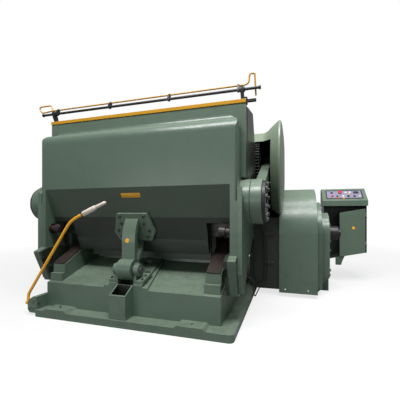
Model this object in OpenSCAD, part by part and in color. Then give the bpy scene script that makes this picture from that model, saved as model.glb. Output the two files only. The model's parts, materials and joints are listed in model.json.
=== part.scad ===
// Clamshell platen press for creasing and die cutting sheet board.
// Millimetres. X runs to the right seen from the operator, Y away from the operator, Z up.
// The origin is on the floor in the centre plane, straight under the hinge pin of the moving platen.
// The press stands closed: its platen is upright, against the die bed.

/* [Base casting] */
// Half width of the plinth
plinth_half = 950; // [930:5:960]
// Width of the foot flange beside the plinth
flange_side = 140; // [135:5:200]
// Distance from the hinge pin forward to the front edge of the flange
flange_front = 205; // [190:5:260]
// Distance from the hinge pin forward to the front of the plinth
plinth_front = 55; // [45:1:70]
// Depth of the plinth behind the hinge pin
plinth_back = 1880; // [1850:5:1950]
// Depth of the flange behind the hinge pin
flange_back = 2050; // [2030:5:2100]
// Thickness of the foot flange
flange_t = 68; // [55:1:75]
// Height of the four anchor pads
pad_h = 90; // [82:1:100]
// Length of the flat top of an anchor pad
pad_len = 235; // [180:5:260]
// Height of the front edge of the deck
deck_front_z = 320; // [300:5:330]
// Slope of the deck, in degrees
deck_slope = 16.7; // [15:0.1:17.5]
// Wall thickness of the hollow plinth
plinth_wall = 45; // [35:1:60]
// Distance of the anchor holes from the centre plane
anchor_x = 710; // [600:5:780]
// Radius of an anchor hole
anchor_r = 13; // [8:0.5:18]
// Rise of the centre pad that carries the hinge bracket
centre_pad_h = 44; // [38:1:48]
// Radius of the chip hole in the deck
chip_hole_r = 48; // [30:1:55]

/* [Oil trough] */
// Half width of the trough
trough_half = 87; // [80:1:95]
// Height of the open top of the trough
trough_top = 288; // [250:1:300]
// Wall thickness of the trough
trough_wall = 12; // [8:1:16]

/* [Guide rails] */
// Inner edge of a rail riser, from the centre plane
riser_in = 790; // [785:1:800]
// Outer edge of a rail riser, from the centre plane
riser_out = 940; // [925:1:945]
// Thickness of a rail wear strip
rail_t = 16; // [10:1:22]

/* [Hinge] */
// Height of the hinge pin
hinge_z = 500; // [495:1:505]
// Radius of the hinge pin
hinge_pin_r = 38; // [30:1:45]
// Radius of the ribbed knuckle drum
drum_r = 100; // [90:1:100]
// Half width of the knuckle drum
drum_half = 76; // [65:1:78]
// Thickness of a hinge bracket ear
ear_t = 28; // [22:1:34]

/* [Moving platen] */
// Half width of the platen shell
shell_half = 1085; // [1080:1:1088]
// Width of the platen's edge flange beside the shell
plate_flange = 49; // [40:1:55]
// Distance of the shell's front face ahead of the hinge pin
shell_front = 10; // [0:1:20]
// Height of the top of the platen
platen_top = 2085; // [2060:5:2100]
// Height where the shell's shoulder starts to curve back
shoulder_z = 1800; // [1750:5:1820]
// Half width of the recess in the shell
recess_half = 1021; // [1010:1:1025]
// Height of the top edge of the recess
recess_top = 1310; // [1290:5:1320]
// Distance of the plate's back behind the hinge pin
plate_back = 253; // [250:1:255]
// Thickness of the back plate
plate_t = 68; // [60:1:72]
// Thickness of the steel cutting plate
cutting_t = 10; // [6:1:12]

/* [Trunnions and rods] */
// Distance of the trunnion centre behind the hinge pin
hub_y = 255; // [250:1:260]
// Height of the trunnion centre
hub_z = 1163; // [1150:1:1165]
// Radius of the trunnion hub and of the rod's front eye
hub_r = 212; // [200:1:214]
// Radius of the trunnion pin
trunnion_r = 95; // [80:1:105]
// Length of a trunnion hub, from the shell to the connecting rod
hub_len = 96; // [94:1:100]
// Thickness of the connecting rod
rod_t = 106; // [90:1:108]
// Thickness of the cap on the rod's front eye
rod_cap_t = 30; // [20:1:34]

/* [Crank drive] */
// Distance of the crankshaft behind the hinge pin
crank_y = 1495; // [1490:1:1500]
// Height of the crankshaft
crank_z = 1650; // [1645:1:1655]
// Radius of the crank circle
crank_r = 290; // [280:1:295]
// Gear module of the crank gears
crank_module = 12; // [11:0.5:12]
// Gear module of the intermediate gear
inter_module = 10; // [9:0.5:10]
// Face width of a crank gear
crank_gear_w = 75; // [60:1:76]
// Radius of the crankshaft
crankshaft_r = 85; // [70:1:95]

/* [Flywheel drive] */
// Radius of the flywheel
flywheel_r = 550; // [500:5:560]
// Width of the flywheel rim
flywheel_w = 140; // [120:1:160]
// Radius of the motor pulley
pulley_r = 70; // [60:1:90]
// Width of the flywheel cover
cover_w = 456; // [450:1:465]
// Outer radius of the arch of the flywheel cover
cover_r = 617; // [610:1:625]
// Height of the open bottom of the flywheel cover
cover_bottom = 50; // [45:1:70]

/* [Guards] */
// Radius of the gear guard's drum
guard_r = 632; // [628:1:640]
// Depth of the gear guard, outwards from the side frame
guard_depth = 385; // [380:1:395]
// Thickness of the guard sheet
guard_t = 5; // [3:0.5:6]

/* [Top bar and safety rod] */
// Height of the control shaft over the platen
shaft_z = 2213; // [2200:1:2225]
// Radius of the control shaft
shaft_r = 13; // [10:0.5:14]
// Half length of the control shaft
shaft_half = 1262; // [1240:1:1280]
// Radius of the safety rod's bar
safety_rod_r = 8; // [6:0.5:10]
// Height of the safety rod over the control shaft
safety_rise = 52; // [48:1:60]

/* [Clutch lever] */
// Distance of the lever's pivot from the centre plane
lever_pivot_x = 1085; // [1075:1:1090]
// Height of the lever's pivot
lever_pivot_z = 126; // [120:1:135]
// Radius of the lever tube
lever_tube_r = 14.5; // [10:0.5:16]
// Radius of the thick part of the grip
grip_r = 25; // [20:0.5:28]

/* [Operator console] */
// Distance of the console's left side from the drive's outboard stand
console_gap = 10; // [8:1:25]
// Width of the console cabinet
console_w = 605; // [560:5:640]
// Depth of the console cabinet
console_d = 330; // [300:5:380]
// Distance of the console's front behind the hinge pin
console_y = 2395; // [2395:1:2410]
// Height of the left end of the cabinet's sloping bottom edge
console_bottom = 325; // [315:1:340]
// Sheet thickness of the console
console_t = 4; // [3:0.5:6]
// Slope of the control panel, in degrees
panel_slope = 40; // [34:1:42]
// Radius of a push button
button_r = 17; // [12:0.5:18]
// Travel of a push button
button_travel = 6; // [4:0.5:7]

/* [Sensor cable] */
// Diameter of the sensor cable
cable_d = 14; // [12:0.5:14]

/* [Hidden] */
$fn = 64;

// Bead left by each bend of a bar
bend_bead = 0.6;

// Clearances: running fits, fixed gaps between parts that move past each other
fit = 0.05;
gap = 0.4;
// Overlap that lets a cut pass cleanly through a face
cut = 5;

// Colours
green = "#5f7463";
dark_green = "#3c473d";
pale_green = "#8fa08a";
yellow = "#d99a12";
black = "#1d1d1f";
steel = "#9a9ca0";
brown_steel = "#5a3a30";
chrome = "#cfd2d6";
beige = "#e2d3c6";

// Plinth and deck
flange_x = plinth_half + flange_side;
function deck_z(y) = deck_front_z + (y + plinth_front) * tan(deck_slope);
pedestal_y = 600;
pedestal_half = 700;
rear_deck_z = 400;
anchor_front_y = flange_front - 80;
anchor_back_y = flange_back - 75;
pad_ramp = 28;
centre_pad_front = 250;
centre_pad_back = 150;
centre_pad_len = 650;
centre_pad_edge = 62;
trough_back = deck_front_z + 42;
drum_slot_half = drum_half + 8;
drum_slot_back = 160;
chip_hole_y = 410;

// Guide rails: the riser's top runs from the front point to the back point
riser_y0 = 20;
riser_y1 = 560;
riser_z0 = 505;
riser_slope = 25.9;
function riser_z(y) = riser_z0 + (y - riser_y0) * tan(riser_slope);

// Hinge bracket
ear_in = drum_slot_half + 2;
ear_out = ear_in + ear_t;
bracket_half = 190;
bracket_front = 45;
bracket_back = 150;
bracket_foot_t = 34;

// Widths that follow the platen's shell: edge flange, side frames and trunnion hubs
plate_half = shell_half + plate_flange;
frame_gap = 5;
frame_t = 80;
frame_out = shell_half - frame_gap;
frame_in = frame_out - frame_t;
rod_in = shell_half + hub_len;

// Platen
plate_front = plate_back - plate_t;
shoulder_r = 120;
shoulder_end = 105;
fillet_r = 60;
fold_y = 105;
fold_z = 1013;
panel_foot_y = 235;
panel_foot_z = 650;
panel_half = 770;
corner_top_z = 960;
shell_corner_r = 160;
shell_edge_r = 25;
foot_in = shell_half - 103;
foot_front = 105;
foot_top_z = 645;
hub_zone_top = hub_z + hub_r + 12;
roller_x = 905;
roller_y = 85;
roller_z = 885;
cutting_half = shell_half - 35;
cutting_bottom = 760;
cutting_top = 2060;
die_gap = 9;
chase_y = plate_back + cutting_t + die_gap;
chase_t = 28;
chase_half = plate_half - 4;
bed_y = chase_y + chase_t;
bed_bottom = 820;
bed_seat_z = 1395;

// Trunnion, rod and crank: the linkage stands at its outer dead centre
reach_y = crank_y - hub_y;
reach_z = crank_z - hub_z;
rod_angle = atan2(reach_z, reach_y);
rod_len = sqrt(reach_y * reach_y + reach_z * reach_z) + crank_r;
rod_out = rod_in + rod_t;
hub_out = rod_in - 1;
crank_pin_y = crank_y + crank_r * cos(rod_angle);
crank_pin_z = crank_z + crank_r * sin(rod_angle);
crank_eye_r = 140;
crank_pin_r = 70;

// Gear train: crank gear, pinion on the intermediate shaft, intermediate gear, clutch pinion
pressure = 25;
slack = 0.5;
crank_teeth = 75;
pinion_teeth = 15;
inter_teeth = 64;
clutch_teeth = 20;
mesh_1_angle = -71;
mesh_2_angle = -59.4;
mesh_1 = crank_module * (crank_teeth + pinion_teeth) / 2;
mesh_2 = inter_module * (inter_teeth + clutch_teeth) / 2;
inter_y = crank_y + mesh_1 * cos(mesh_1_angle);
inter_z = crank_z + mesh_1 * sin(mesh_1_angle);
drive_y = inter_y + mesh_2 * cos(mesh_2_angle);
drive_z = inter_z + mesh_2 * sin(mesh_2_angle);
crank_gear_x = frame_out + 15;
inter_gear_x = frame_in - 95;
inter_gear_w = 70;
inter_shaft_r = 50;
clutch_shaft_r = 42;

// Flywheel and belt drive: the cover laps over the gear guard
guard_out = frame_out + guard_depth;
cover_lap = 65;
cover_in = guard_out - cover_lap;
cover_out = cover_in + cover_w;
flywheel_x = cover_in + 51;
groove_w = 22;
groove_depth = 14;
groove_n = 4;
belt_rise = 6;
motor_y = 2560;
motor_z = 330;
motor_r = 150;
motor_x = flywheel_x + flywheel_w + 6;
tail_back = 215;
panel_y = 1345;

// Stand outside the flywheel cover
housing_len = 74;
stand_t = 105;
stand_in = cover_out + housing_len;
stand_out = stand_in + stand_t;
cylinder_len = 109;
stand_half = 282;
clutch_dome_r = 372;

// Control shaft and brackets
shaft_y = 195;
bar_back = 13;
bracket_x = plate_half - 36;

// Lever
lever_y = -165;
lever_pin_r = 12;
bracket_left = lever_pivot_x - 17;

// Console: places on the panel are measured across it from the left and up it from the front edge
console_x = stand_out + console_gap;
hood_over = 12;
hood_front_z = 1250;
hood_lip = 80;
hood_bottom_z = hood_front_z - hood_lip;
panel_len = 310;
door_left = console_x + 229;
door_right = console_x + console_w - 22;
door_pin_y = console_y - 9 - gap;
door_top_z = 1064;
door_hinge_zs = [console_bottom + 250, door_top_z - 60];
leg_z = 250;
plate_low = 50;
plate_high = 262;
button_stem_r = 8;
button_bush_r = 14;
button_places = [[205, 105], [133, 105], [251, 200], [362, 105]];
lamp_places = [[334, 200], [391, 200], [291, 105]];

// Sensor cable: from a gland on the right side frame, down to the floor and back to the drive's beam
cable_route = [[1105, 430, 405], [1133, 436, 401], [1154, 454, 390], [1161, 478, 375], [1158, 540, 335],
    [1150, 620, 283], [1142, 700, 232], [1134, 790, 178], [1127, 880, 129], [1121, 970, 85], [1117, 1055, 46],
    [1115, 1125, 22], [1115, 1190, 10], [1116, 1290, 8], [1119, 1410, 8], [1123, 1530, 8], [1128, 1650, 8],
    [1133, 1765, 9], [1138, 1855, 18], [1140, 1905, 29], [1140, 1945, 33]];
cable_end = cable_route[len(cable_route) - 1];

module xprism(x0, x1) {
    translate([x0, 0, 0])
        rotate([90, 0, 90])
            linear_extrude(x1 - x0)
                children();
}

module xcyl(x0, x1, r, y, z) {
    translate([x0, y, z])
        rotate([0, 90, 0])
            cylinder(h = x1 - x0, r = r);
}

module xbox(x0, x1, y0, y1, z0, z1) {
    translate([x0, y0, z0])
        cube([x1 - x0, y1 - y0, z1 - z0]);
}

// A body turned about an X axis; the points are radius and x
module xturn(points, y, z) {
    translate([0, y, z])
        rotate([90, 0, 90])
            rotate_extrude()
                polygon(points);
}

module both_sides() {
    children();
    mirror([1, 0, 0])
        children();
}

// Hexagon head of a bolt whose axis is X
module hex_x(x, y, z, size, h) {
    translate([x, y, z])
        rotate([0, 90, 0])
            cylinder(h = h, r = size / sqrt(3), $fn = 6);
}

// Involute gear outline with its first tooth on the +X axis of the outline
function inv_deg(a) = tan(a) * 180 / PI - a;
function half_tooth(r, n, m) =
    let (base_r = n * m / 2 * cos(pressure), a = acos(min(1, base_r / r)))
    90 / n - slack / (n * m / 2) * 180 / PI + inv_deg(pressure) - inv_deg(a);
function tooth_radii(n, m) =
    let (root = m * (n / 2 - 1.25), base_r = max(root, n * m / 2 * cos(pressure)), tip = m * (n / 2 + 1))
    [root, for (k = [0:3]) base_r + (tip - base_r) * k / 3];
function gear_points(n, m) =
    let (radii = tooth_radii(n, m), last = len(radii) - 1)
    [for (i = [0:n - 1]) each [
        for (k = [0:last]) let (a = 360 * i / n - half_tooth(radii[k], n, m))
            [radii[k] * cos(a), radii[k] * sin(a)],
        for (k = [last:-1:0]) let (a = 360 * i / n + half_tooth(radii[k], n, m))
            [radii[k] * cos(a), radii[k] * sin(a)]]];

module gear(x, w, y, z, n, m, turn, bore) {
    translate([x, y, z])
        rotate([90, 0, 90])
            linear_extrude(w)
                difference() {
                    rotate(turn)
                        polygon(gear_points(n, m));
                    circle(r = bore);
                }
}

// ---------------------------------------------------------------- base

module anchor_pad(x, y0, y1) {
    translate([x, y0, 0])
        rotate([90, 0, 0])
            mirror([0, 0, 1])
                linear_extrude(y1 - y0)
                    polygon([[-pad_len / 2 - pad_ramp, flange_t - cut], [-pad_len / 2 - pad_ramp, flange_t],
                        [-pad_len / 2, pad_h], [pad_len / 2, pad_h], [pad_len / 2 + pad_ramp, flange_t],
                        [pad_len / 2 + pad_ramp, flange_t - cut]]);
}

module plinth() {
    xprism(-plinth_half, plinth_half)
        polygon([[-plinth_front, 0], [-plinth_front, deck_front_z], [pedestal_y, deck_z(pedestal_y)],
            [pedestal_y + 245, deck_z(pedestal_y)], [pedestal_y + 245, rear_deck_z],
            [plinth_back, rear_deck_z], [plinth_back, 0]]);
    xprism(-pedestal_half, pedestal_half)
        polygon([[pedestal_y - 40, deck_z(pedestal_y - 40)], [pedestal_y, bed_bottom],
            [pedestal_y + 245, bed_bottom], [pedestal_y + 245, rear_deck_z], [pedestal_y, rear_deck_z]]);
}

module plinth_hollows() {
    bay = (plinth_half - plinth_wall * 2) / 2;
    for (side = [-1, 1], k = [0, 1]) {
        x0 = side > 0 ? plinth_wall + k * bay : -plinth_wall - (k + 1) * bay;
        xprism(x0 + plinth_wall / 2, x0 + bay - plinth_wall / 2)
            polygon([[plinth_wall + 110, -cut], [plinth_wall + 110, deck_z(60) - plinth_wall - 60],
                [pedestal_y, deck_z(pedestal_y) - plinth_wall - 60], [pedestal_y, rear_deck_z - plinth_wall],
                [plinth_back - plinth_wall, rear_deck_z - plinth_wall], [plinth_back - plinth_wall, -cut]]);
    }
}

module rail_riser() {
    xprism(riser_in, riser_out)
        polygon([[riser_y0, deck_z(riser_y0) - cut], [riser_y0, riser_z0], [riser_y1, riser_z(riser_y1)],
            [riser_y1 + 60, riser_z(riser_y1)], [riser_y1 + 60, deck_z(riser_y1) - cut]]);
    xbox(riser_in, riser_out, riser_y0 - 42, riser_y0 + cut, deck_front_z - cut, riser_z0 - 92);
}

// One layer of the raised pad that carries the hinge bracket: it tapers to the back
module pad_layer(front_half, back_half, h) {
    intersection() {
        translate([0, -plinth_front, deck_front_z])
            rotate([deck_slope, 0, 0])
                translate([0, -40, -20])
                    linear_extrude(h + 20)
                        polygon([[-front_half, 0], [front_half, 0], [back_half, centre_pad_len],
                            [-back_half, centre_pad_len]]);
        xbox(-centre_pad_front, centre_pad_front, -plinth_front, pedestal_y - 45, 0, bed_bottom);
    }
}

module centre_pad() {
    pad_layer(centre_pad_front - centre_pad_edge, centre_pad_back - 20, centre_pad_h);
    pad_layer(centre_pad_front, centre_pad_back, centre_pad_h / 2);
}

module base_casting() {
    corner = 45;
    color(green)
        difference() {
            union() {
                linear_extrude(flange_t)
                    difference() {
                        union() {
                            translate([-plinth_half, -flange_front])
                                square([plinth_half + flange_x - corner, flange_front + 360]);
                            translate([-plinth_half, -flange_front + corner])
                                square([plinth_half + flange_x, flange_front + 360 - corner]);
                            translate([flange_x - corner, -flange_front + corner])
                                circle(r = corner);
                            translate([-flange_x, 320])
                                square([2 * flange_x, flange_back - 320]);
                        }
                    }
                for (x = [-anchor_x, anchor_x]) {
                    anchor_pad(x, -flange_front, -plinth_front + cut);
                    anchor_pad(x, plinth_back - cut, flange_back);
                }
                plinth();
                both_sides()
                    rail_riser();
                centre_pad();
            }
            plinth_hollows();
            for (x = [-anchor_x, anchor_x], y = [-anchor_front_y, anchor_back_y])
                translate([x, y, -cut])
                    cylinder(h = pad_h + 2 * cut, r = anchor_r);
            xbox(-drum_slot_half, drum_slot_half, -plinth_front - cut, drum_slot_back, trough_top - 20, hinge_z);
            translate([0, chip_hole_y, deck_z(chip_hole_y) - 110])
                cylinder(h = 300, r = chip_hole_r);
        }
}

module oil_trough() {
    color(green)
        difference() {
            xprism(-trough_half, trough_half)
                polygon([[-flange_front + 15, flange_t], [-flange_front + 15, trough_top], [-plinth_front, trough_back],
                    [-plinth_front, flange_t]]);
            xbox(-trough_half + trough_wall, trough_half - trough_wall, -flange_front + 15 + trough_wall,
                -plinth_front - trough_wall / 2, flange_t + trough_wall, trough_back + cut);
            for (z = [trough_top - 60, trough_top - 145])
                xcyl(trough_half - trough_wall - cut, trough_half + cut, 5, -plinth_front - 32, z);
        }
}

module guide_rails() {
    color(brown_steel)
        both_sides()
            translate([riser_in + 6, riser_y0, riser_z0])
                rotate([riser_slope, 0, 0])
                    cube([riser_out - riser_in - 12, (riser_y1 - riser_y0) / cos(riser_slope), rail_t]);
}

// ---------------------------------------------------------------- hinge

module hinge_bracket() {
    pad_z = deck_front_z + centre_pad_h / cos(deck_slope);
    color(green)
        both_sides()
            difference() {
                union() {
                    xprism(ear_in, ear_out)
                        polygon([[-bracket_front, pad_z + (plinth_front - bracket_front) * tan(deck_slope)],
                            [-bracket_front + 5, hinge_z + 20], [-30, hinge_z + 66], [30, hinge_z + 66],
                            [bracket_back - 40, hinge_z + 10],
                            [bracket_back, pad_z + (plinth_front + bracket_back) * tan(deck_slope)]]);
                    xprism(ear_in, bracket_half)
                        polygon([[-bracket_front, pad_z + (plinth_front - bracket_front) * tan(deck_slope)],
                            [-bracket_front, pad_z + (plinth_front - bracket_front) * tan(deck_slope) + bracket_foot_t],
                            [bracket_back, pad_z + (plinth_front + bracket_back) * tan(deck_slope) + bracket_foot_t],
                            [bracket_back, pad_z + (plinth_front + bracket_back) * tan(deck_slope)]]);
                    xcyl(ear_in, ear_out + 24, hinge_pin_r + 22, 0, hinge_z);
                }
                xcyl(ear_in - cut, ear_out + 24 + cut, hinge_pin_r, 0, hinge_z);
            }
}

module hinge_bracket_bolts() {
    pad_z = deck_front_z + (centre_pad_h + bracket_foot_t * cos(deck_slope)) / cos(deck_slope);
    color(dark_green)
        both_sides()
            for (x = [ear_out + 26, bracket_half - 20], y = [-20, 52, 124])
                if (x > ear_out + 30 || y > 60)
                    translate([x, y, pad_z + (plinth_front + y) * tan(deck_slope)])
                        rotate([deck_slope, 0, 0])
                            cylinder(h = 14, r = 11);
}

module hinge_pin() {
    color(steel) {
        xcyl(-ear_out - 28, ear_out + 28, hinge_pin_r, 0, hinge_z);
        hex_x(ear_out + 28, 0, hinge_z, 50, 12);
    }
}

function arm_front() = [[75, 1010], [48, 960], [22, 900], [6, 830], [2, 760], [2, hinge_z + 98]];

module hinge_arm() {
    color(green)
        difference() {
            union() {
                xcyl(-drum_half, drum_half, drum_r, 0, hinge_z);
                // ribs round the drum
                for (k = [-2:2])
                    xcyl(k * 26 - 5, k * 26 + 5, drum_r + 3, 0, hinge_z);
                // broad front flange
                xprism(-72, 72)
                    polygon([each arm_front(), [44, hinge_z + 60], [44, 760], [50, 825], [66, 890], [92, 945],
                        [118, 985]]);
                // thin web
                xprism(-22, 22)
                    polygon([[20, hinge_z + 60], [20, 840], [60, 930], [110, 975], [165, 840], [200, 700],
                        [150, hinge_z + 80], [70, hinge_z + 40]]);
                // rear rib down to the knuckle
                xprism(-58, 58)
                    polygon([[148, 850], [176, 770], [176, 690], [90, hinge_z + 75], [60, hinge_z + 60],
                        [88, hinge_z + 35], [120, hinge_z + 60], [206, 680], [206, 770], [178, 850]]);
                // bolting flange on the platen's lower panel
                intersection() {
                    translate([0, fold_y, fold_z])
                        rotate([atan2(panel_foot_y - fold_y, fold_z - panel_foot_z), 0, 0])
                            translate([0, -38, -240])
                                rotate([-90, 0, 0])
                                    mirror([0, 1, 0])
                                        linear_extrude(38 - gap)
                                            polygon([[-170, 290], [170, 290], [232, 90], [188, 0],
                                                [-188, 0], [-232, 90]]);
                    xbox(-260, 260, -100, 400, 600, 1100);
                }
            }
            xcyl(-drum_half - cut, drum_half + cut, hinge_pin_r + fit, 0, hinge_z);
            platen_solid_below_recess();
        }
}

// The part of the platen behind the recess, used to trim what is bolted onto it
module platen_solid_below_recess() {
    xprism(-panel_half, panel_half)
        polygon([recess_line(recess_top), [fold_y, fold_z], [panel_foot_y, panel_foot_z], [plate_back + 60, panel_foot_z],
            [plate_back + 60, recess_top]]);
}

function recess_line(z) = [-shell_front + (recess_top - z) * (fold_y + shell_front) / (recess_top - fold_z), z];

module hinge_arm_bolts() {
    tilt = atan2(panel_foot_y - fold_y, fold_z - panel_foot_z);
    color(dark_green)
        both_sides()
            for (p = [[135, 20], [128, -55], [178, -130], [150, -195]])
                translate([p[0], fold_y, fold_z])
                    rotate([tilt, 0, 0])
                        translate([0, -38 - 14, p[1]])
                            rotate([-90, 0, 0])
                                cylinder(h = 14, r = 15);
}

// ---------------------------------------------------------------- platen

// Side outline of the platen's shell from the recess's top edge over the shoulder to the plate
function shoulder_points() =
    let (end_y = -shell_front + shoulder_r * (1 + cos(shoulder_end)),
        end_z = shoulder_z + shoulder_r * sin(shoulder_end),
        slope = tan(shoulder_end - 90),
        start_y = plate_front - fillet_r + fillet_r * sin(shoulder_end - 90),
        start_z = end_z + (start_y - end_y) * slope,
        centre_z = start_z + fillet_r * cos(shoulder_end - 90))
    [for (a = [180:-7.5:shoulder_end]) [-shell_front + shoulder_r * (1 + cos(a)), shoulder_z + shoulder_r * sin(a)],
        for (a = [shoulder_end - 180:15:0]) [plate_front - fillet_r + fillet_r * cos(a), centre_z + fillet_r * sin(a)]];

module recess_cut(half) {
    xprism(-half, half)
        polygon([[-shell_front - 200, recess_top], recess_line(recess_top), [fold_y, fold_z],
            [panel_foot_y, panel_foot_z], [panel_foot_y, panel_foot_z - 60], [-shell_front - 200, panel_foot_z - 60]]);
}

// Corner openings at the foot of the platen, over the guide rails
module corner_cuts() {
    both_sides()
        xbox(panel_half, recess_half, -300, plate_back + 60, 500, corner_top_z);
}

// Points of a quarter round about a centre, from one angle to another
function quarter(x, y, r, from, to, steps) =
    [for (k = [0:steps]) let (a = from + (to - from) * k / steps) [x + r * cos(a), y + r * sin(a)]];

module platen_shell() {
    top_z = shoulder_points()[len(shoulder_points()) - 1][1];
    edge_x = shell_half - shell_edge_r;
    corner_x = shell_half - shell_corner_r;
    difference() {
        intersection() {
            xprism(-shell_half - 1, shell_half + 1)
                polygon([[-shell_front, foot_top_z], each shoulder_points(), [plate_front, foot_top_z]]);
            // plan outline with rounded vertical edges
            translate([0, 0, foot_top_z - 1])
                linear_extrude(platen_top)
                    polygon([[-shell_half, plate_front + 1],
                        each quarter(-edge_x, shell_edge_r - shell_front, shell_edge_r, 180, 270, 6),
                        each quarter(edge_x, shell_edge_r - shell_front, shell_edge_r, 270, 360, 6),
                        [shell_half, plate_front + 1]]);
            // front outline with rounded top corners
            translate([0, plate_front + 2, 0])
                rotate([90, 0, 0])
                    linear_extrude(plate_front + shell_front + 4)
                        polygon([[-shell_half - 2, foot_top_z - 2], [shell_half + 2, foot_top_z - 2],
                            each quarter(corner_x + 2, top_z - shell_corner_r, shell_corner_r, 0, 90, 9),
                            each quarter(-corner_x - 2, top_z - shell_corner_r, shell_corner_r, 90, 180, 9)]);
        }
        recess_cut(recess_half);
        corner_cuts();
        // casting hollows between the ribs, open to the back plate
        for (k = [-2:2])
            xbox(k * 400 - 170, k * 400 + 170, shell_front + 35, plate_front + cut, 1395, shoulder_z);
    }
}

module platen_casting() {
    color(green) {
        platen_shell();
        both_sides()
            difference() {
                platen_foot();
                xbox(foot_in - cut, foot_in + 30, -foot_front - 20, 60, 480, 575);
            }
    }
}

// Side arm of the platen from the shell down to the foot block
module platen_foot() {
    xprism(foot_in, shell_half)
        polygon([[-foot_front, foot_top_z], [-foot_front + 8, foot_top_z - 30], [40, 315], [140, 290],
            [190, 380], [plate_back, 560], [plate_back, foot_top_z + 40], [-shell_front, foot_top_z + 35]]);
    xprism(recess_half, shell_half)
        polygon([[-shell_front, foot_top_z], [-shell_front, hub_z], [plate_back, hub_z], [plate_back, foot_top_z]]);
}

module back_plate() {
    color(green)
        difference() {
            union() {
                xbox(-plate_half, plate_half, plate_front, plate_back, hub_zone_top, platen_top);
                xbox(-shell_half, shell_half, plate_front, plate_back, panel_foot_z, hub_zone_top);
            }
            recess_cut(panel_half + 1);
            both_sides()
                xbox(recess_half - 1, shell_half + cut, plate_front - cut, plate_back + cut, panel_foot_z - cut, hub_z);
            corner_cuts();
        }
}

module cutting_plate() {
    color(steel)
        xbox(-cutting_half, cutting_half, plate_back, plate_back + cutting_t, max(cutting_bottom, corner_top_z),
            cutting_top);
}

module top_bar() {
    color(yellow)
        xbox(-plate_half, plate_half, plate_front - 7, plate_front + bar_back, platen_top, platen_top + 36);
}

module shaft_brackets() {
    color(black)
        for (side = [-1, 1])
            difference() {
                union() {
                    xprism(side * bracket_x - 14, side * bracket_x + 14)
                        polygon([[plate_front + bar_back + 1, platen_top], [plate_front + bar_back + 1, platen_top + 45],
                            [plate_front - 12, shaft_z - 30],
                            [plate_front - 12, shaft_z + 26], [shaft_y + 17, shaft_z + 26],
                            [shaft_y + 26, shaft_z], [plate_back - 4, platen_top + 30], [plate_back - 4, platen_top]]);
                    xbox(side * bracket_x - 30, side * bracket_x + 30, plate_front + bar_back + 1, plate_back - 2,
                        platen_top, platen_top + 14);
                    xcyl(side * bracket_x - 24, side * bracket_x + 24, shaft_r + 11, shaft_y, shaft_z);
                }
                xcyl(side * bracket_x - 40, side * bracket_x + 40, shaft_r + fit, shaft_y, shaft_z);
            }
    // switch box at the right end, outside the bracket
    color(black) {
        xbox(plate_half - 40, plate_half + 8, plate_front + 20, plate_back, platen_top, platen_top + 62);
        xbox(plate_half + 8, plate_half + 90, plate_front + 26, plate_back - 12, platen_top + 16, platen_top + 40);
    }
}

module control_shaft() {
    color(black) {
        xcyl(-shaft_half, shaft_half, shaft_r, shaft_y, shaft_z);
        for (side = [-1, 1])
            xcyl(side * shaft_half - 8, side * shaft_half + 8, shaft_r + 5, shaft_y, shaft_z);
    }
}

// A round bar bent through a list of points, with a slightly proud ball at each bend
module bent_bar(points, r) {
    for (k = [0:len(points) - 2]) {
        a = points[k];
        d = points[k + 1] - a;
        l = norm(d);
        translate(a)
            rotate([0, acos(d[2] / l), atan2(d[1], d[0])])
                cylinder(h = l, r = r);
    }
    for (p = points)
        translate(p)
            sphere(r = r + bend_bead);
}

module safety_rod() {
    rod_y = shaft_y + 26;
    rod_z = shaft_z + safety_rise;
    color(yellow) {
        bent_bar([[-1150, rod_y, rod_z], [-1165, rod_y, rod_z + 50], [-1180, rod_y, rod_z + 66],
            [-1335, rod_y, rod_z + 66], [-1350, rod_y, rod_z + 50], [-1322, rod_y, rod_z],
            [-1300, rod_y, rod_z - 10], [-1150, rod_y, rod_z], [1130, rod_y, rod_z],
            [1158, rod_y, rod_z + 20], [1164, rod_y, rod_z + 92]], safety_rod_r);
        bent_bar([[1212, rod_y, rod_z + 92], [1222, rod_y, shaft_z - 60]], safety_rod_r);
        bent_bar([[1164, rod_y, rod_z + 92], [1170, rod_y, rod_z + 98], [1206, rod_y, rod_z + 98],
            [1212, rod_y, rod_z + 92]], safety_rod_r);
    }
    // links that clamp the rod to the control shaft
    color(black)
        for (x = [-1060, -350, 350, 1060])
            difference() {
                xprism(x - 9, x + 9)
                    polygon([[shaft_y - 20, shaft_z - 18], [shaft_y - 20, shaft_z + 16], [rod_y - 14, rod_z + 8],
                        [rod_y + 6, rod_z - safety_rod_r + 1], [shaft_y + 24, shaft_z - 4], [shaft_y + 16, shaft_z - 18]]);
                xcyl(x - 20, x + 20, shaft_r, shaft_y, shaft_z);
                xcyl(x - 20, x + 20, safety_rod_r, rod_y, rod_z);
            }
}

module trunnion_hubs() {
    color(green)
        both_sides() {
            xcyl(shell_half, hub_out, hub_r, hub_y, hub_z);
            xcyl(hub_out - 1, rod_out + 4, trunnion_r, hub_y, hub_z);
            // side web that carries the hub down to the platen's foot
            xprism(shell_half, shell_half + 44)
                polygon([[-shell_front, hub_z + 120], [hub_y - hub_r + 6, hub_z + 40], [hub_y + hub_r - 6, hub_z],
                    [hub_y + hub_r - 20, 800], [340, 540], [150, 330], [60, 330], [-shell_front, 520]]);
        }
}

module guide_rollers() {
    color(brown_steel)
        both_sides() {
            xcyl(roller_x - 5, recess_half, 34, roller_y, roller_z);
            xcyl(roller_x, roller_x + 60, 48, roller_y, roller_z);
        }
    color(pale_green)
        both_sides()
            difference() {
                xcyl(recess_half - 12, recess_half, 56, roller_y, roller_z);
                xcyl(recess_half - 20, recess_half + 4, 34, roller_y, roller_z);
            }
}

// ---------------------------------------------------------------- rods and cranks

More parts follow.
